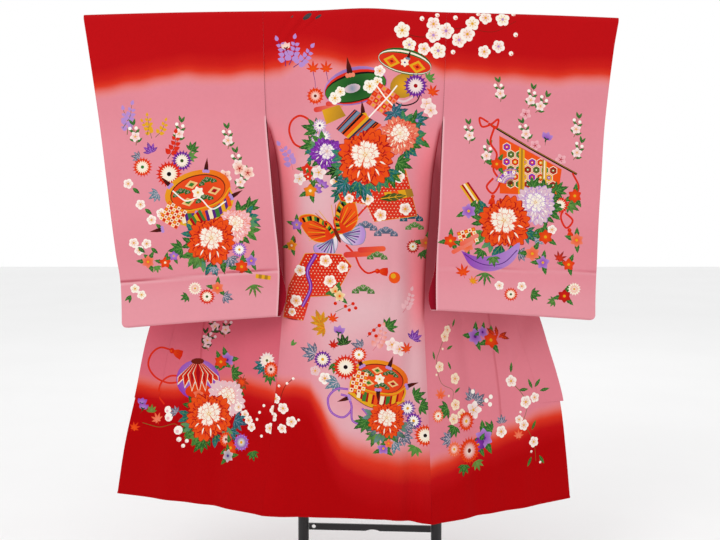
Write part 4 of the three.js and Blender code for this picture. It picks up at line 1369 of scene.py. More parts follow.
def right_sleeve(d):
    """Figures of the right sleeve, seen from behind."""
    for x, s, turn in ((274, 166, -100), (325, 176, -80), (338, 184, -60), (217, 244, -95), (245, 280, -80),
                       (325, 238, -110), (409, 226, -80), (409, 268, -70)):
        sprig(d, x, s, 36, turn)
    for x, s in ((320, 187), (338, 244), (386, 268)):
        cherry(d, x, s, 12, "pink", "pale_pink", "crimson", s)
    bellflower(d, 358, 232, 15, -70, "purple", "lilac")
    stroke(d, [(252, 206), (330, 250), (416, 294)], 4.2, "black", None, False)
    stroke(d, [(252, 205), (330, 249), (416, 293)], 1.2, "ochre", None, False)
    hexagons(d, ((272, 228), (388, 286), (382, 336), (274, 334)), 9.0)
    stripes(d, ((309, 248), (319, 253), (320, 338), (308, 336)), 3, ("gold", "ochre", "gold"))
    stripes(d, ((352, 268), (360, 273), (360, 336), (351, 336)), 3, ("ochre", "cream", "gold"))
    cord(d, [(264, 210), (256, 240), (268, 262), (262, 290), (274, 312), (262, 334), (250, 322), (262, 306)],
         3.8)
    cord(d, [(408, 292), (420, 320), (402, 348), (388, 372), (398, 394), (410, 380), (396, 366)], 3.6)
    cord(d, [(252, 204), (236, 196), (240, 212), (256, 208), (270, 198), (266, 214), (252, 206)], 3.6)
    lay(d, tassel, ((262, 338, 16, 100), (404, 396, 16, 80)))
    folding_fan(d, 296, 318, 30, -120, 96, ("purple", "lilac", "cream", "gold"))
    lay(d, leaves, ((334, 322, 25, -60), (378, 326, 25, -20)))
    leaves(d, 402, 350, 23, 30, *MOSS)
    lay(d, flower, ((413, 334, 14), (268, 280, 13)), *FLAME)
    chrysanthemum(d, 386, 352, 17, "orange_red", "scarlet", "cream", "dark_green", 16)
    stripes(d, ((200, 322), (216, 314), (240, 348), (224, 356)), 5, ("gold", "crimson", "cream"))
    wreath(d, 340, 352, 26, 26, -60, 50, 5, ("green", "dark_green"))
    wreath(d, 284, 392, 38, 28, 70, 215, 6)
    peony(d, 340, 352, 37, "pale", "lilac", "white", "cream", "lilac", "white", 12)
    leaves(d, 236, 366, 25, 200)
    leaves(d, 322, 404, 28, 40, *POND)
    leaves(d, 350, 396, 25, 70)
    flower(d, 217, 368, 15, *PANSY)
    peony(d, 284, 388, 48, turn=-12)
    checks(d, 216, 416, 5, 4, 7.0, -18, ("orange", "cream", "gold", "crimson"))
    flower(d, 184, 424, 14, *FLAME)
    flower(d, 214, 432, 15, "orange", "salmon", "cream", 6)
    cloud(d, 212, 428, 26, "orange", "salmon", -30, 0.8)
    ribbon = [(210, 448), (232, 462), (256, 468), (284, 462), (308, 438)]
    crescent = [(204, 442), (232, 452), (262, 450), (288, 440), (312, 424), (306, 452), (284, 472),
                (252, 480), (222, 470)]
    d.add(smooth_line(crescent + crescent[:1], 4)[:-1], "purple", "lilac", (204, 442), along=(110, 10))
    stroke(d, ribbon, 1.6, "violet")
    leaves(d, 243, 440, 21, 120)
    leaves(d, 263, 452, 20, 80, *MOSS)
    leaves(d, 312, 444, 21, 20, *SLATE)
    leaves(d, 340, 418, 22, -10, *MIST)
    plum(d, 372, 398, 9, *BLUSH, 10)
    flower(d, 336, 444, 15, *PEACH)
    flower(d, 360, 412, 15, *FLAME)
    flower(d, 356, 460, 14, *ASTER)
    maple(d, 386, 452, 17, -60, "orange_red", "brown")
    flower(d, 404, 462, 13, "orange", "scarlet")
    flower(d, 418, 416, 14, *PEACH)
    maple(d, 208, 484, 19, -100)
    maple(d, 226, 500, 13, -60, "gold", "orange")
    bamboo(d, 250, 482, 27, 95, "green", "dark_green")
    for x, s in ((276, 506), (318, 506)):
        plum(d, x, s, 9, turn=x)
    chrysanthemum(d, 298, 522, 14, "orange", "scarlet", "cream", "dark_green", 16)
    leaves(d, 336, 520, 20, 10)
    flower(d, 398, 522, 14, "scarlet", "crimson", "gold", 6)
    chrysanthemum(d, 416, 508, 13, "cream", "white", "salmon", "gold", 14)
    leaves(d, 380, 532, 16, 160, *MOSS)


def upper_back(d):
    """Figures of the back from the shoulders to the waist."""
    for x, s, turn in ((-120, 106, -110), (-114, 104, -80), (-106, 108, -50)):
        spray(d, x, s, 49, turn, "lilac", "violet")
    bellflower(d, -119, 74, 13, -100, "cream", "pale_pink", "brown")
    for x, s in ((-70, 112), (-46, 112)):
        maple(d, x, s, 17, -90)
        Spot(d, x, s).line([(0, 4), (4, 26), (2, 52)], 1.0, "violet", 0.6)
    cord(d, [(-84, 256), (-104, 248), (-114, 226), (-110, 206), (-94, 196), (-76, 206), (-74, 226)], 3.8)
    lay(d, leaves, ((-62, 222, 32, 195), (-68, 250, 30, 170)))
    leaves(d, -20, 336, 25, 120, *POND)
    chrysanthemum(d, -66, 160, 17, *RUSSET)
    cloud(d, -34, 176, 30, "orange_red", "salmon", -10)
    fan_band(d, 8, 144, 118, 74, -14, (("violet", "lilac"), ("scarlet", "orange_red"), ("black", "black"),
                                       ("dark_green", "green")), 0)
    for x, s, size in ((-30, 164, 12), (-20, 152, 10), (34, 142, 13), (48, 134, 10)):
        plum(d, x, s, size, *IVORY, x)
    Spot(d, 2, 146, 1, -14).fill(oval(15, 8), "blue_grey", "pale", 15)
    cone(d, -2, 122, 34, -100, "salmon")
    cone(d, 22, 194, 26, -96, "gold")
    Spot(d, 96, 140, 1, -30).fill(oval(26, 22, 16), "gold", "ochre", 28)
    stroke(d, [(74, 168), (96, 176), (120, 168), (128, 146)], 3.0, "black", 2.0)
    stroke(d, [(76, 162), (96, 169), (114, 160)], 5.0, "pale", 3.0)
    fan_band(d, 98, 98, 100, 50, 12)
    plum(d, 52, 114, 11, *BLUSH, 15)
    chrysanthemum(d, 118, 140, 23, "purple", "violet", "pale", "crimson")
    maple(d, 148, 152, 17, -60)
    leaves(d, 140, 128, 17, -40, *GRASS)
    for x, s in ((139, 173), (146, 184)):
        cherry(d, x, s, 15, *BLUSH, s)
    checks(d, 58, 166, 5, 5, 9.0, 34, ("orange_red", "salmon", "orange", "gold"))
    stroke(d, [(20, 212), (44, 186), (70, 158), (84, 140)], 2.6, "white", None, False)
    stroke(d, [(46, 140), (62, 162), (84, 184)], 2.6, "white", None, False)
    stroke(d, [(24, 190), (44, 214)], 2.0, "gold", None, False)
    stripes(d, ((12, 252), (-28, 220), (6, 184), (56, 212)), 9,
            ("orange", "black", "blue_grey", "navy", "gold"))
    for k in range(6):
        stroke(d, [(-26 + 8 * k, 222 + 6 * k), (8 + 9.6 * k, 186 + 5.6 * k)], 1.2, "orange", None, False)
    d.add([(-54, 186), (-22, 176), (-10, 196), (-46, 212)], "gold", "ochre", (-54, 186), along=(44, 10))
    lay(d, leaves, ((78, 192, 29, -20), (80, 190, 29, 110)), *INK)
    leaves(d, 116, 202, 28, -10, *SEA)
    flower(d, 112, 208, 14, *PANSY)
    for x, s, turn in ((-58, 214, 0), (-50, 234, 40), (-62, 240, 15)):
        chrysanthemum(d, x, s, 14, "pale", "lilac", "white", "violet", 12, turn)
    wreath(d, -48, 262, 14, 24, 120, 250, 4)
    for x, s, size in ((-60, 300, 16), (-96, 312, 14)):
        cherry(d, x, s, size, "pale", "white", "gold", s)
    peony(d, -46, 264, 29, "purple", "violet", "lilac", "pale", "lilac", "white", 30)
    flower(d, 120, 234, 18, *FLAME)
    wreath(d, 88, 232, 24, 26, -70, 60, 6, ("teal", "green", "dark_green"))
    peony(d, 88, 230, 34, "salmon", "orange_red", "cream", "cream", "salmon", "white", 40)
    dappled(d, ((-39, 296), (34, 316), (100, 294), (122, 378), (42, 390), (29, 358), (-19, 352)))
    stripes(d, ((60, 336), (112, 328), (116, 342), (66, 352)), 4, ("gold", "orange", "gold", "ochre"))
    leaf(d, 52, 348, 51, -8, "dark_green", "olive", "gold", 0.16)
    for x, s, size in ((30, 348, 12), (86, 306, 13), (100, 366, 12), (54, 378, 12), (-28, 316, 12),
                       (-4, 348, 9)):
        plum(d, x, s, size, *CORAL, x)
    lay(d, leaves, ((84, 280, 32, 20), (70, 300, 32, 70)))
    lay(d, leaves, ((-10, 318, 34, 130), (20, 324, 32, 80)), *SEA)
    leaves(d, -26, 296, 25, 160, "dark_green", "black")
    wreath(d, 27, 276, 40, 27, 30, 190, 7, ("dark_green", "teal", "green", "teal"))
    peony(d, 27, 272, 52, turn=-6)


def middle_back(d):
    """Figures of the back between waist and knee."""
    spray(d, -108, 296, 52, -120, "lilac", "rose")
    lay(d, flower, ((-82, 294, 12), (-80, 308, 9)), "scarlet", "orange_red", "cream", 5)
    for x, s in ((-64, 318), (-54, 326), (-66, 334)):
        bellflower(d, x, s, 13, -100 - x, "lilac", "purple", "olive")
    flower(d, -76, 334, 14, "gold", "orange", "cream")
    for x, s, tone in ((64, 414, "blue_grey"), (26, 404, "blue_grey"), (112, 386, "teal")):
        pine(d, x, s, 21, tone)
    pine(d, 118, 402, 17, "leaf", "green")
    cord(d, [(44, 372), (30, 362), (12, 380), (-4, 394)], 3.6)
    cord(d, [(-10, 434), (6, 452), (16, 474), (30, 486), (46, 482)], 3.6)
    cloud(d, 26, 446, 34, "scarlet", "orange", -4)
    butterfly(d, -28, 412, 50, -24)
    flower(d, -102, 398, 12, *LILAC)
    leaf(d, -106, 420, 25, 100, "brown", "black", "orange", 0.18)
    flower(d, -112, 438, 12, "orange", "gold", "cream")
    lay(d, pine, ((48, 458, 18), (22, 522, 20)), "leaf", "dark_green")
    chrysanthemum(d, 115, 436, 14, "scarlet", "crimson", "cream", "gold", 14)
    flower(d, 140, 430, 14, *PEACH)
    leaves(d, 132, 446, 18, 60)
    tassel(d, 46, 482, 20, 4)
    bead(d, 80, 494, 11, "orange", 12)
    bead(d, 78, 491, 5, "gold", 8)
    dappled(d, ((-66, 450), (-19, 452), (0, 474), (-30, 528), (-76, 532), (-90, 578), (-129, 576),
                (-118, 514), (-86, 452)))
    ribbon = [(-66, 452), (-82, 484), (-76, 516), (-92, 552)]
    stroke(d, ribbon, 8, "violet", 6)
    stroke(d, ribbon, 5.4, "purple", 4)
    stroke(d, ribbon, 1.2, "lilac")
    for x, s, size in ((-48, 464, 12), (-16, 476, 11), (-40, 502, 12), (-104, 542, 12), (-96, 484, 11),
                       (-112, 564, 8)):
        plum(d, x, s, size, *CORAL, x)
    for x, s in ((-30, 521), (-22, 530)):
        flower(d, x, s, 12, "gold", "cream", "orange")
    stroke(d, [(-30, 560), (-14, 552), (4, 544)], 1.1, "olive", 0.6)
    for x, s in ((3, 544), (-11, 549), (-4, 556), (-30, 544), (8, 552)):
        bead(d, x, s, 3.4, "scarlet", 8)
    spray(d, 96, 560, 44, -70, "pale_pink", "rose")


def lower_back(d):
    """Figures of the back round the lower edge of the pink."""
    lay(d, leaves, ((-57, 582, 28, -110), (-50, 590, 25, 170)), "gold", "ochre", "orange")
    maple(d, -36, 574, 15, -60)
    bellflower(d, -24, 600, 16, -80, "purple", "lilac")
    stroke(d, [(30, 606), (42, 592), (56, 582)], 1.2, "brown", 0.7)
    for x, s in ((42, 593), (34, 600), (52, 584), (46, 604)):
        bead(d, x, s, 3.6, "scarlet", 8)
    leaves(d, 66, 588, 25, -40)
    spray(d, 40, 632, 49, -70, "pale_pink", "rose", 4, 0.2, "salmon")
    leaves(d, 20, 626, 23, 200, *SLATE)
    for x, s in ((76, 620), (90, 628)):
        cherry(d, x, s, 16, *BLUSH, x)
    leaves(d, 116, 612, 23, -60, *IRIS)
    maple(d, 104, 630, 16, -110, "orange", "orange_red")
    leaves(d, -68, 640, 30, 200, *SLATE)
    leaves(d, -14, 622, 23, -100, "dark_green", "black")
    maple(d, -34, 624, 14, -80, "scarlet", "crimson")
    leaves(d, -32, 656, 25, 60)
    chrysanthemum(d, -54, 650, 18, "purple", "violet", "cream", "gold", 16)
    plum(d, -50, 686, 12, *BLUSH, 40)
    plum(d, -68, 672, 10, "pale_pink", "pale", "gold", 10)
    leaves(d, -26, 692, 28, 150, *MIST)
    cord(d, [(-6, 706), (-28, 706), (-44, 724), (-38, 750), (-16, 760), (0, 744), (-6, 722), (-20, 716)],
         4.0, "purple", "lilac")
    cord(d, [(0, 744), (2, 766), (20, 772), (30, 756), (20, 742)], 3.8, "purple", "lilac")
    drum(d, 52, 690, 108, 92, 10, "gold", "orange", "orange_red", "crimson")
    checks(d, 14, 692, 4, 6, 7.0, 12, ("orange", "cream", "crimson", "gold"))
    for x, s, turn in ((70, 664, -70), (20, 662, -120), (104, 700, -20), (50, 706, 90), (-4, 722, 160)):
        cone(d, x, s, 25, turn)
    stroke(d, [(-6, 712), (30, 736), (66, 740), (100, 726)], 4.4, "gold", 3.4)
    stroke(d, [(-6, 714), (30, 738), (66, 742), (100, 728)], 1.2, "brown")
    chrysanthemum(d, 14, 640, 16, "orange", "scarlet", "white", "gold", 16)
    chrysanthemum(d, -11, 664, 25, "orange_red", "scarlet", "cream", "black", 20)
    lay(d, leaves, ((118, 718, 25, -20), (130, 734, 25, 20)))
    for x, s, tone in ((106, 741, "lilac"), (118, 764, "purple")):
        chrysanthemum(d, x, s, 17, tone, "violet", "white", "gold", 14)
    leaves(d, 28, 768, 28, 150)
    leaves(d, 46, 790, 28, 110, *MOSS)
    leaves(d, 98, 792, 25, 50, *SLATE)
    leaves(d, 80, 804, 25, 90, *MIST)
    wreath(d, 66, 764, 24, 24, 20, 200, 7, ("green", "blue_grey", "dark_green"))
    peony(d, 66, 762, 34, turn=14)
    leaves(d, 104, 774, 21, 10, *SLATE)
    leaves(d, 122, 812, 23, 110, *GRASS)
    chrysanthemum(d, 140, 790, 22, "orange", "scarlet", "cream", "black")
    flower(d, 60, 818, 13, *ASTER)
    flower(d, 70, 808, 10, "orange", "salmon")
    leaves(d, -114, 628, 15, -50, "leaf", "green", "leaf", 2)
    plum_branch(d, [(-108, 688), (-126, 706), (-136, 732), (-146, 752), (-140, 780), (-120, 776)],
                ((-145, 732, 1.1), (-130, 748, 1.2), (-152, 766, 1.2), (-114, 772, 1.2), (-132, 786, 1.0)),
                ((-138, 707), (-110, 690), (-122, 700), (-100, 768), (-126, 792)), "white", "brown", 9)


def left_wing(d):
    """Figures of the left front where it shows beside the back."""
    for p, s, turn in ((120, 620, -100), (132, 612, -60), (150, 648, -80), (162, 640, -130)):
        sprig(d, p, s, 36, turn, "pale", "pale_pink", "black")
    flower(d, 112, 664, 16, *VIOLET)
    flower(d, 124, 668, 14, *FLAME)
    cord(d, [(224, 650), (248, 646), (266, 660), (272, 684), (258, 706), (232, 716), (204, 712)], 3.8)
    cord(d, [(196, 700), (226, 702), (246, 718), (250, 744), (236, 760)], 3.6)
    tassel(d, 226, 650, 24, 160)
    lay(d, leaves, ((100, 690, 28, 190), (92, 714, 30, 150)))
    maple(d, 74, 700, 22, 80, "orange_red", "dark_green")
    maple(d, 74, 702, 12, 60)
    leaves(d, 28, 666, 27, 20, *SEA)
    leaves(d, 16, 680, 24, 100)
    chrysanthemum(d, 24, 656, 17, "pale", "white", "cream", "olive", 14)
    chrysanthemum(d, 14, 672, 17, *RUSSET)
    for p, s, size in ((-1, 748, 9.9), (4, 783, 10.8)):
        plum(d, p, s, size, *BLUSH, s)
    for p, s in ((22, 742), (34, 770), (20, 800), (30, 756)):
        bead(d, p, s, 3.0, "white", 9)
    ball(d, 168, 706, 44, 4)
    peony(d, 106, 740, 40, "pale", "pale_pink", "white", "cream", "salmon", "white", 20)
    for p, s in ((62, 764), (44, 786), (78, 752), (52, 774)):
        plum(d, p, s, 9, *BLUSH, p)
    leaves(d, 84, 778, 31, 170, *INK)
    leaves(d, 92, 800, 29, 140, *SEA)
    lay(d, leaves, ((170, 800, 30, 20), (146, 824, 30, 60)))
    wreath(d, 140, 778, 36, 27, -30, 150, 7)
    peony(d, 140, 776, 47, turn=18)
    for p, s in ((284, 762), (280, 772)):
        bellflower(d, p, s, 14, -100 + p - 280, "lilac", "purple")
    maple(d, 246, 792, 17, -60, "salmon", "orange")
    maple(d, 292, 812, 15, -120)
    stroke(d, [(276, 800), (240, 806), (206, 796), (192, 812)], 1.2, "olive", 0.7)
    for p, s, size in ((226, 770, 8), (222, 784, 9), (198, 808, 9), (194, 826, 5), (184, 838, 4),
                       (178, 828, 4)):
        bead(d, p, s, size, "white", 10)
        bead(d, p + 1.5, s + 2.5, size * 0.4, "pale_pink", 7)
    leaves(d, 262, 778, 17, -90, "leaf", "olive")
    leaves(d, 206, 774, 18, -30, *SLATE)
    chrysanthemum(d, 98, 818, 17, *RUSSET)
    flower(d, 84, 832, 16, *FLAME)
    chrysanthemum(d, 62, 818, 18, "lilac", "purple", "violet", "gold", 14)
    flower(d, 88, 848, 14, "blue_grey", "pale", "violet", 6)
    leaves(d, 36, 832, 20, 110)


def right_wing(d):
    """Figures of the right front where it shows beside the back."""
    plum_branch(d, [(66, 584), (52, 604), (36, 630), (26, 652), (34, 690), (60, 706), (58, 724)],
                ((52, 606, 1.3), (60, 594, 1.1), (33, 660, 1.3), (68, 686, 1.4)),
                ((44, 628), (24, 674), (50, 716)), "cream", "olive", 8)
    for p, s, turn in ((74, 590, -60), (54, 630, -20), (22, 646, -100), (60, 668, -110), (64, 712, -30)):
        leaf(d, p, s, 17, turn, "dark_green", "green", "leaf", 0.16)
    lay(d, flower, ((128, 613, 17), (146, 606, 12)), *VIOLET)
    flower(d, 162, 622, 17, *FLAME)
    for p, s, turn in ((176, 616, -90), (178, 618, -30), (180, 614, 20), (172, 612, -140)):
        leaf(d, p, s, 21, turn, "orange_red", "brown", "orange", 0.2)
    maple(d, 30, 714, 18, -80, "orange", "salmon")
    lay(d, leaves, ((46, 738, 28, 160), (60, 774, 25, 120)))
    for p, s in ((64, 734), (78, 754), (58, 760)):
        plum(d, p, s, 11, "pale_pink", "cream", "gold", p)
    chrysanthemum(d, 22, 750, 14, "salmon", "orange", "cream", "orange", 14)
    lay(d, leaves, ((106, 730, 25, -100), (116, 736, 23, -40)), *SLATE)
    cherry(d, 108, 750, 20, "pale", "white", "gold", 20)
    stroke(d, [(116, 744), (134, 734), (146, 728)], 1.1, "olive", 0.7)
    for p, s in ((143, 742), (146, 728), (110, 716), (136, 734)):
        bead(d, p, s, 4.4, "white", 9)
    chrysanthemum(d, 88, 768, 21, "orange", "scarlet", "orange_red", "gold", 16)
    leaves(d, 48, 796, 25, 190, *SLATE)
    leaves(d, 144, 792, 28, 200)
    flower(d, 126, 804, 20, *VIOLET)
    flower(d, 114, 816, 15, "purple", "violet", "gold", 6)
    plum(d, 164, 796, 12, *BLUSH, 30)
    leaves(d, 166, 780, 18, -90, *SLATE)
    chrysanthemum(d, 56, 816, 16, "salmon", "orange", "orange", "gold", 14)
    chrysanthemum(d, 92, 824, 27, "orange", "scarlet", "orange_red", "brown", 20)
    leaves(d, 78, 848, 23, 100)
    leaves(d, 108, 846, 21, 70, "leaf", "olive")
    plum_branch(d, [(192, 702), (212, 728), (222, 752), (212, 782), (226, 808), (236, 836), (238, 862)],
                ((193, 702, 1.4), (219, 744, 1.5), (240, 738, 1.2), (212, 788, 1.3), (234, 824, 1.3),
                 (202, 776, 1.0)), ((224, 858), (248, 866), (228, 842), (206, 762)), "white", "olive", 8.5)
    for p, s, turn in ((194, 686, -80), (206, 720, 0), (242, 718, -50), (236, 720, -110), (252, 726, -10),
                       (230, 800, -60), (246, 852, 60), (228, 852, 120)):
        leaf(d, p, s, 21, turn, "dark_green", "green", "leaf", 0.17)
    maple(d, 200, 808, 15, -90, "salmon", "orange")


def draw_all(seen, wings):
    """Every printed figure, from the lowest to the topmost."""
    shoulder_plums(seen)
    left_sleeve(seen)
    right_sleeve(seen)
    middle_back(seen)
    upper_back(seen)
    lower_back(seen)
    left_wing(wings["left"])
    right_wing(wings["right"])


# Dyed grounds, with some painted light and shade: linear colour of each point of a panel


def ramp_colour(t, *stops):
    """Colour at t, between stops of a place and a palette name."""
    places = [place for place, _ in stops]
    colours = np.array([COLOURS[name] for _, name in stops])
    return np.stack([np.interp(t, places, colours[:, k]) for k in range(3)], -1)


def uneven(x, s):
    """A soft uneven wander of a dye edge, in millimetres: a few sines of unlike lengths."""
    return 3.0 * np.sin(x / 47 + 0.6) + 1.6 * np.sin(x / 19.3 + s / 90) + 0.8 * np.sin(x / 8.7 + 1.9)


def top_dye(colour, x, s, edge, fade):
    """Red shoulders that run through orange-red and a salmon fringe into the ground below."""
    t = (s - edge - uneven(x, s)) / fade
    red = ramp_colour(t, (-3.0, "red"), (-1.2, "top_fade"), (-0.2, "orange_red"), (0.7, "fringe"),
                      (1.6, "salmon"))
    return mix(red, colour, smooth((t + 0.3) / 2.4)[..., None])


def low_dye(colour, x, s, edge, fade):
    """Deep red hem that runs up through orange-red and a salmon fringe into the ground above."""
    t = (edge - s - uneven(x + 200, s)) / fade
    red = ramp_colour(t, (-5.0, "deep_red"), (-2.4, "red"), (-0.8, "orange_red"), (0.3, "fringe"),
                      (1.3, "salmon"))
    return mix(red, colour, smooth((t + 0.6) / 2.3)[..., None])


GLOWS = table("x s wide tall amount", (-62, 340, 52, 95, 0.68), (20, 560, 78, 62, 0.68),
              (88, 540, 40, 55, 0.38), (118, 668, 34, 80, 0.6), (-28, 610, 40, 60, 0.42),
              (84, 215, 46, 50, 0.25), (-30, 690, 40, 60, 0.42), (60, 400, 60, 90, 0.28),
              (-52, 755, 30, 22, 0.35), (0, 772, 34, 30, 0.5), (60, 805, 60, 22, 0.35))
BACK_TOP = table("x s", (-165, 116), (-130, 110), (-95, 88), (-60, 90), (-20, 96), (20, 99), (70, 88),
                 (120, 90), (150, 102), (175, 116))
BACK_LOW = table("x s", (-175, 706), (-150, 704), (-110, 700), (-78, 706), (-58, 735), (-42, 770),
                 (-20, 804), (10, 822), (50, 830), (90, 838), (130, 838), (160, 834))


def ground_back(x, s):
    """Pink with pale clouds in the middle, red above and below, a painted glow near the curling sides and
    painted shade along the edges below the armholes.
    """
    colour = np.broadcast_to(COLOURS["pink"], x.shape + (3,))
    colour = blend(colour, "rose", 0.3 * smooth((np.abs(x - 10) - 50) / 60))
    for glow in rows_of(GLOWS):
        shape = bell((x - glow["x"]) / glow["wide"]) * bell((s - glow["s"]) / glow["tall"])
        colour = blend(colour, "pale", glow["amount"] * shape)
    edge = np.minimum(x - back_edge("left", s), back_edge("right", s) - x)
    # painted glow: a brighter warm pink near the curling side edges, bounce light standing in for the shade
    # there
    colour = blend(colour, "warm_pink", smooth((50 - edge) / 44) * smooth((s - 180) / 120)
                   * smooth((640 - s) / 130))
    # painted shade: dark red in a narrow band along the side edges below the armholes, the shade of the gap
    # beside the sleeves
    colour = blend(colour, "lining_red", bell(edge / 4.5) * smooth((s - 196) / 30) * smooth((600 - s) / 60))
    colour = low_dye(colour, x, s, np.interp(x, BACK_LOW["x"], BACK_LOW["s"]),
                     12.0 + 9 * smooth((x + 90) / 60))
    return top_dye(colour, x, np.abs(s), np.interp(x, BACK_TOP["x"], BACK_TOP["s"]), 13.0)


def ground_sleeve(x, s):
    """Even pink below red shoulders, lighter low down, with a painted shadow and highlight along the tuck
    and a pale lining line on the open body side.
    """
    colour = np.broadcast_to(COLOURS["pink"], x.shape + (3,))
    colour = blend(colour, "rose", 0.35 * bell((s - 160) / 60) + 0.25 * bell((s - 430) / 60))
    colour = blend(colour, "pale_pink", 0.16 * smooth((s - 480) / 60))
    for side, form in SIDES.items():
        line = tuck_line(side, x)
        # painted shadow along the tuck line with a painted highlight just below it, full on the left sleeve
        # and faint on the right
        inside = (x * form["sign"] > 0) * (1.0 if side == "left" else 0.35)
        colour = blend(colour, "wing_pink", inside * 0.9 * bell((s - line) / 1.5))
        colour = blend(colour, "pale_pink", inside * 0.6 * bell((s - line - 4) / 2.5))
        away = form["sign"] * x - form["sign"] * sleeve_edges(side, -1, s)[0]
        colour = blend(colour, "pale_pink", (away > -1) * (away < 2.6) * smooth((s - 192) / 8))
    outer = 26 * smooth((-x - 290) / 170)
    return top_dye(colour, x, s, 114.0 + outer, 12.0)


LEFT_LOW = table("a s", (0, 706), (60, 700), (120, 712), (180, 716), (240, 722), (320, 712))
RIGHT_LOW = table("a s", (0, 838), (50, 828), (100, 812), (150, 806), (200, 788), (250, 772), (320, 764))


def ground_front(side):
    """Red shoulder, pink middle and deep red hem of a front, its overlap and its collar, with painted shade
    from the sleeves.
    """
    low, dye_and_shade_deepen = (LEFT_LOW, 0.75) if side == "left" else (RIGHT_LOW, 0.32)

    def ground(a, s):
        colour = np.broadcast_to(COLOURS["pink"], a.shape + (3,))
        # deeper pink: partly the fronts' dye, partly painted shade where they lie behind the sleeves, more
        # on the left; the band just below the sleeves' bottom is painted shadow
        colour = blend(colour, "wing_pink", dye_and_shade_deepen + 0.15 * bell((s - 580) / 50))
        # painted shade: dark red near the side seam behind the sleeve, the shade in the gap between sleeve
        # and back
        colour = blend(colour, "lining_red", 0.6 * smooth((150 - a) / 60) * smooth((570 - s) / 60))
        colour = blend(colour, "crimson", 0.35 * bell((a - HALF_WIDTH) / 0.9))
        colour = low_dye(colour, a, s, np.interp(a, low["a"], low["s"]), 12.0)
        return top_dye(colour, a, s, 96.0, 13.0)
    return ground


# Panels


def rows_between(*stops):
    """Row places from stops of a place and the step up to it."""
    rows = [stops[0][0]]
    for place, step in stops[1:]:
        count = max(1, round((place - rows[-1]) / step))
        rows.extend(np.linspace(rows[-1], place, count + 1)[1:])
    return np.array(rows)


def grid_between(left, right, rows, columns):
    """A grid of plane points between two side edges given for each row."""
    u = np.linspace(0, 1, columns + 1)[None, :]
    across = mix(np.broadcast_to(left, rows.shape)[:, None], np.broadcast_to(right, rows.shape)[:, None], u)
    return np.stack([across, np.broadcast_to(rows[:, None], across.shape)], -1)


HEM_ROLL = 5.5         # width of the rolled hem along the cloth
COLLAR_STEP = 0.0004   # share of the length in which the edge steps out below the collar's end


def hem_roll(end):
    """Relief of the rolled hem: a small half-round along the edge, with a groove above it."""
    def relief(a, s):
        t = (end - s) / HEM_ROLL
        roll = 0.9 * np.sqrt(np.clip(1 - (2 * t - 0.9) ** 2, 0, 1))
        return roll - 0.35 * bell((t - 1.12) / 0.14)
    return relief


def back_panel(design, material):
    """The back, from its flap over the shoulder to the hem, with finer rows at folds and hem."""
    quarter_end = LENGTH + QUARTER - FOLD_RADIUS
    rows = rows_between((-QUARTER - SHOULDER_FLAP + FOLD_RADIUS, 1), (-QUARTER, 3.5), (QUARTER, 2.2),
                        (quarter_end - 9, 4.2), (quarter_end, 0.9))
    grid = grid_between(back_edge("left", rows), back_edge("right", rows), rows, 80)
    piece = panel("kimono_back", back_point, grid, -1, WALL, ground_back, design, material,
                  relief=hem_roll(quarter_end))
    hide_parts("back_panel")
    return piece


def front_rows(top):
    """Row places of a front or overlap, close together at the collar's end and the hem."""
    below_collar = (COLLAR_END + COLLAR_STEP) * LENGTH
    return rows_between((top * LENGTH, 1), (COLLAR_END * LENGTH, 5), (below_collar, 2), (LENGTH - 9, 5),
                        (LENGTH, 0.9))


def front_panel(side, design, material):
    """A front, from the side seam to the collar and overlap seam."""
    rows = front_rows(FRONT_TOP)
    v = rows / LENGTH
    start = SEWN * smooth((v - ARMHOLE_END) / 0.05)
    grid = grid_between(start, np.minimum(collar_seam(v), HALF_WIDTH), rows, 36)
    piece = panel(f"kimono_front_{side}", lambda a, s: front_point(side, a, s / LENGTH), grid,
                  -SIDES[side]["sign"], WALL, ground_front(side), design, material, relief=hem_roll(LENGTH))
    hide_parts(f"front_{side}")
    return piece


def overlap_panel(side, design, material):
    """An overlap, from its seam with the front to the collar seam and the front edge."""
    rows = front_rows(OVERLAP_TOP)
    v = rows / LENGTH
    step = SIDES[side]["step"] * (1 - (v - COLLAR_END) / (1 - COLLAR_END))
    reach = np.where(v < COLLAR_END + COLLAR_STEP / 2, collar_seam(v), full_width(v) - step)
    grid = grid_between(np.full_like(rows, HALF_WIDTH + SEWN), reach, rows, 30)
    piece = panel(f"kimono_overlap_{side}", lambda a, s: front_point(side, a, s / LENGTH), grid,
                  -SIDES[side]["sign"], WALL, ground_front(side), design, material, relief=hem_roll(LENGTH))
    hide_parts(f"okumi_{side}")
    return piece


def on_collar(wings):
    """The fronts' figures carried over onto the collar band, left half first."""
    design = Design()
    for side, sign in (("left", -1), ("right", 1)):
        for outline, paint in zip(wings[side].outlines, wings[side].paints):
            if outline[:, 1].max() > COLLAR_END * LENGTH or outline[:, 1].min() < 0.4 * LENGTH:
                continue
            seam = collar_seam(outline[:, 1] / LENGTH)
            centre = paint[6] - float(collar_seam(np.array([paint[7] / LENGTH]))[0])
            design.outlines.append(np.stack([outline[:, 0] - seam, sign * outline[:, 1]], 1))
            placed = [centre, sign * paint[7], paint[8], sign * paint[9]]
            design.paints.append(np.concatenate([paint[:6], placed, paint[10:]]))
    return design


def collar_band(design, material):
    """The collar band, with rows from one end over the neck to the other."""
    end = COLLAR_END * LENGTH
    half = rows_between((0, 1), (FRONT_TOP * LENGTH, 4), (end, 6))
    rows = np.concatenate([-half[:0:-1], half])
    grid = grid_between(np.zeros_like(rows), np.full_like(rows, COLLAR_WIDTH), rows, 12)

    def ground(a, s):
        left = ground_front("left")(a + collar_seam(np.abs(s) / LENGTH), np.abs(s))
        right = ground_front("right")(a + collar_seam(np.abs(s) / LENGTH), np.abs(s))
        return np.where((s < 0)[:, None], left, right)

    piece = panel("kimono_collar", lambda a, s: collar_point(a, s / LENGTH), grid, -1, COLLAR_WALL, ground,
                  design, material)
    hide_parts("collar")
    return piece


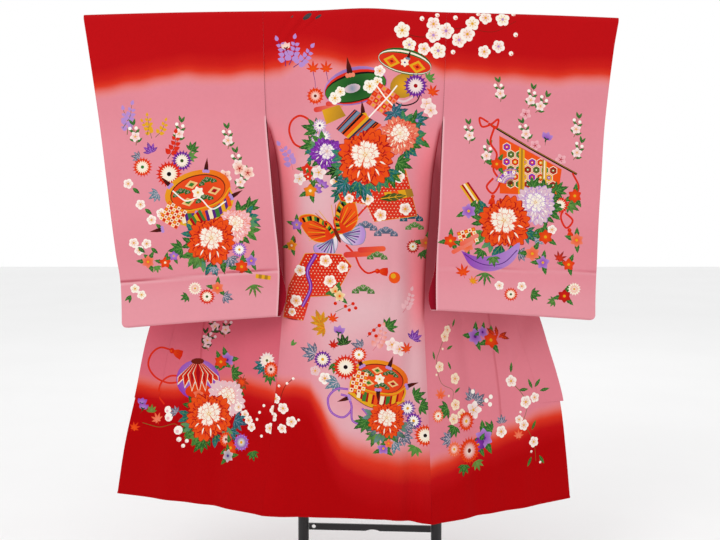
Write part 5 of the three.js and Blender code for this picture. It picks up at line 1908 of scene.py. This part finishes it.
def sleeve_half(side, half, design, material):
    """One half of a sleeve, from the fold at its top to the fold at its bottom."""
    steps = rows_between((SEAM / 2, 1), (QUARTER, 2.2), (SLEEVE_DEPTH[side][0] - 12, 4.2),
                         (SLEEVE_DEPTH[side][0], 1.2))
    share = ((steps - steps[0]) / (steps[-1] - steps[0]))[:, None]
    u = np.linspace(0, 1, 71)[None, :]
    ends = [sleeve_end(side, SIDES[side]["sign"] * x) for x in (150.0, 444.0)]
    down = mix(SEAM / 2, mix(ends[0], ends[1], u), share)
    inner = sleeve_edges(side, half, down[:, 0])[0]
    outer = sleeve_edges(side, half, down[:, -1])[1]
    grid = np.stack([mix(inner[:, None], outer[:, None], u), down], -1)
    where = "back" if half < 0 else "front"
    piece = panel(f"kimono_sleeve_{side}_{where}", lambda a, s: sleeve_point(side, half, a, s), grid, half,
                  WALL, ground_sleeve, design, material, lining="lining_red", edge="pale_pink")
    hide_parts(f"sleeve_{side}_{where}")
    return piece


def tie(side, material):
    """A tie, sewn to the front edge of its side and hanging free."""
    sign = SIDES[side]["sign"]
    width = float(full_width(TIE_HEIGHT))
    anchor = front_point(side, np.array([width - TIE_WIDTH]), TIE_HEIGHT)[0]
    clear = anchor[1] + COLLAR_WALL / 2 + WALL / 2 + TIE_CLEARANCE

    def point(a, b):
        """Straight down from its sewn end, swung forward by a smooth step and one slow sine."""
        swing = 9 * smooth(b / 90) + 2 * np.sin(b / 55)
        return np.stack([anchor[0] - sign * a, clear + swing, anchor[2] - b], -1)

    def ground(a, b):
        return np.broadcast_to(COLOURS["red"], a.shape + (3,))

    grid = grid_between(0.0, TIE_WIDTH, rows_between((0, 1), (TIE_LENGTH, 6)), 6)
    piece = panel(f"kimono_tie_{side}", point, grid, -sign, WALL, ground, Design(), material, lining="red")
    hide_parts(f"tie_{side}")
    return piece


def stand():
    """The stand's own nodes keep their shape and get their finish."""
    black, matt = steel("black_steel"), rubber("foot_rubber")
    for name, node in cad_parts.items():
        if name.startswith(("rod", "arm", "top_bar", "stay_bar", "post", "foot", "cap")):
            node.data.materials.clear()
            node.data.materials.append(matt if name.startswith("cap") else black)


# Floor, light and camera


def floor():
    """A large pale floor plane, mottled very slightly."""
    mesh = bpy.data.meshes.new("floor")
    reach = 6.0
    mesh.from_pydata([(-reach, -reach, 0), (reach, -reach, 0), (reach, reach, 0), (-reach, reach, 0)], [],
                     [(0, 1, 2, 3)])
    nodes = Nodes("floor_pale")
    place = nodes.add("ShaderNodeTexCoord").out("Object")
    mottle = nodes.noise(place, 3.0, 3.0)
    mesh.materials.append(nodes.shade(Base_Color=nodes.tint((0.86, 0.86, 0.86, 1.0), 0.97 + mottle * 0.04),
                                      Roughness=0.8))
    plane = bpy.data.objects.new("floor", mesh)
    bpy.context.scene.collection.objects.link(plane)


def area_light(name, place, aim, size, power):
    """A soft square light at place, facing aim."""
    data = bpy.data.lights.new(name, "AREA")
    data.shape, data.size, data.energy = "SQUARE", size, power
    lamp = bpy.data.objects.new(name, data)
    lamp.location = place
    lamp.rotation_euler = (Vector(aim) - Vector(place)).to_track_quat("-Z", "Y").to_euler()
    bpy.context.scene.collection.objects.link(lamp)


def lighting():
    """An even white surround and three soft lights."""
    world = bpy.data.worlds.new("studio")
    world.use_nodes = True
    world.node_tree.nodes["Background"].inputs["Color"].default_value = (1.0, 1.0, 1.0, 1.0)
    world.node_tree.nodes["Background"].inputs["Strength"].default_value = 1.0
    bpy.context.scene.world = world
    bpy.context.scene.view_settings.view_transform = "Standard"
    area_light("key", (-1.5, -2.6, 2.4), (0, 0, 0.7), 1.6, 26)
    area_light("fill", (1.9, -2.2, 1.5), (0, 0, 0.6), 1.8, 4)
    area_light("back", (0.4, 2.6, 2.2), (0, 0, 0.7), 1.8, 8)


def camera():
    """Seen from 2.39 m away from the rod line, looking slightly down."""
    data = bpy.data.cameras.new("camera")
    data.sensor_width, data.lens = 36.0, 64.25
    eye = bpy.data.objects.new("camera", data)
    eye.location = (0.016, -2.470, 0.900)
    eye.rotation_euler = (math.pi / 2 - math.atan2(260, 2390), 0, 0)
    bpy.context.scene.collection.objects.link(eye)
    bpy.context.scene.camera = eye


camera()
lighting()
floor()
stand()
outer_silk = silk("printed_silk")
seen = Design()
wings = {"left": Design(), "right": Design()}
draw_all(seen, wings)
pieces = [back_panel(seen, outer_silk), collar_band(on_collar(wings), outer_silk)]
for side in ("left", "right"):
    pieces.append(front_panel(side, wings[side], outer_silk))
    pieces.append(overlap_panel(side, wings[side], outer_silk))
    pieces.append(sleeve_half(side, -1, seen, outer_silk))
    pieces.append(sleeve_half(side, 1, seen, outer_silk))
    pieces.append(tie(side, outer_silk))
for piece in pieces:
    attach(piece, "root")
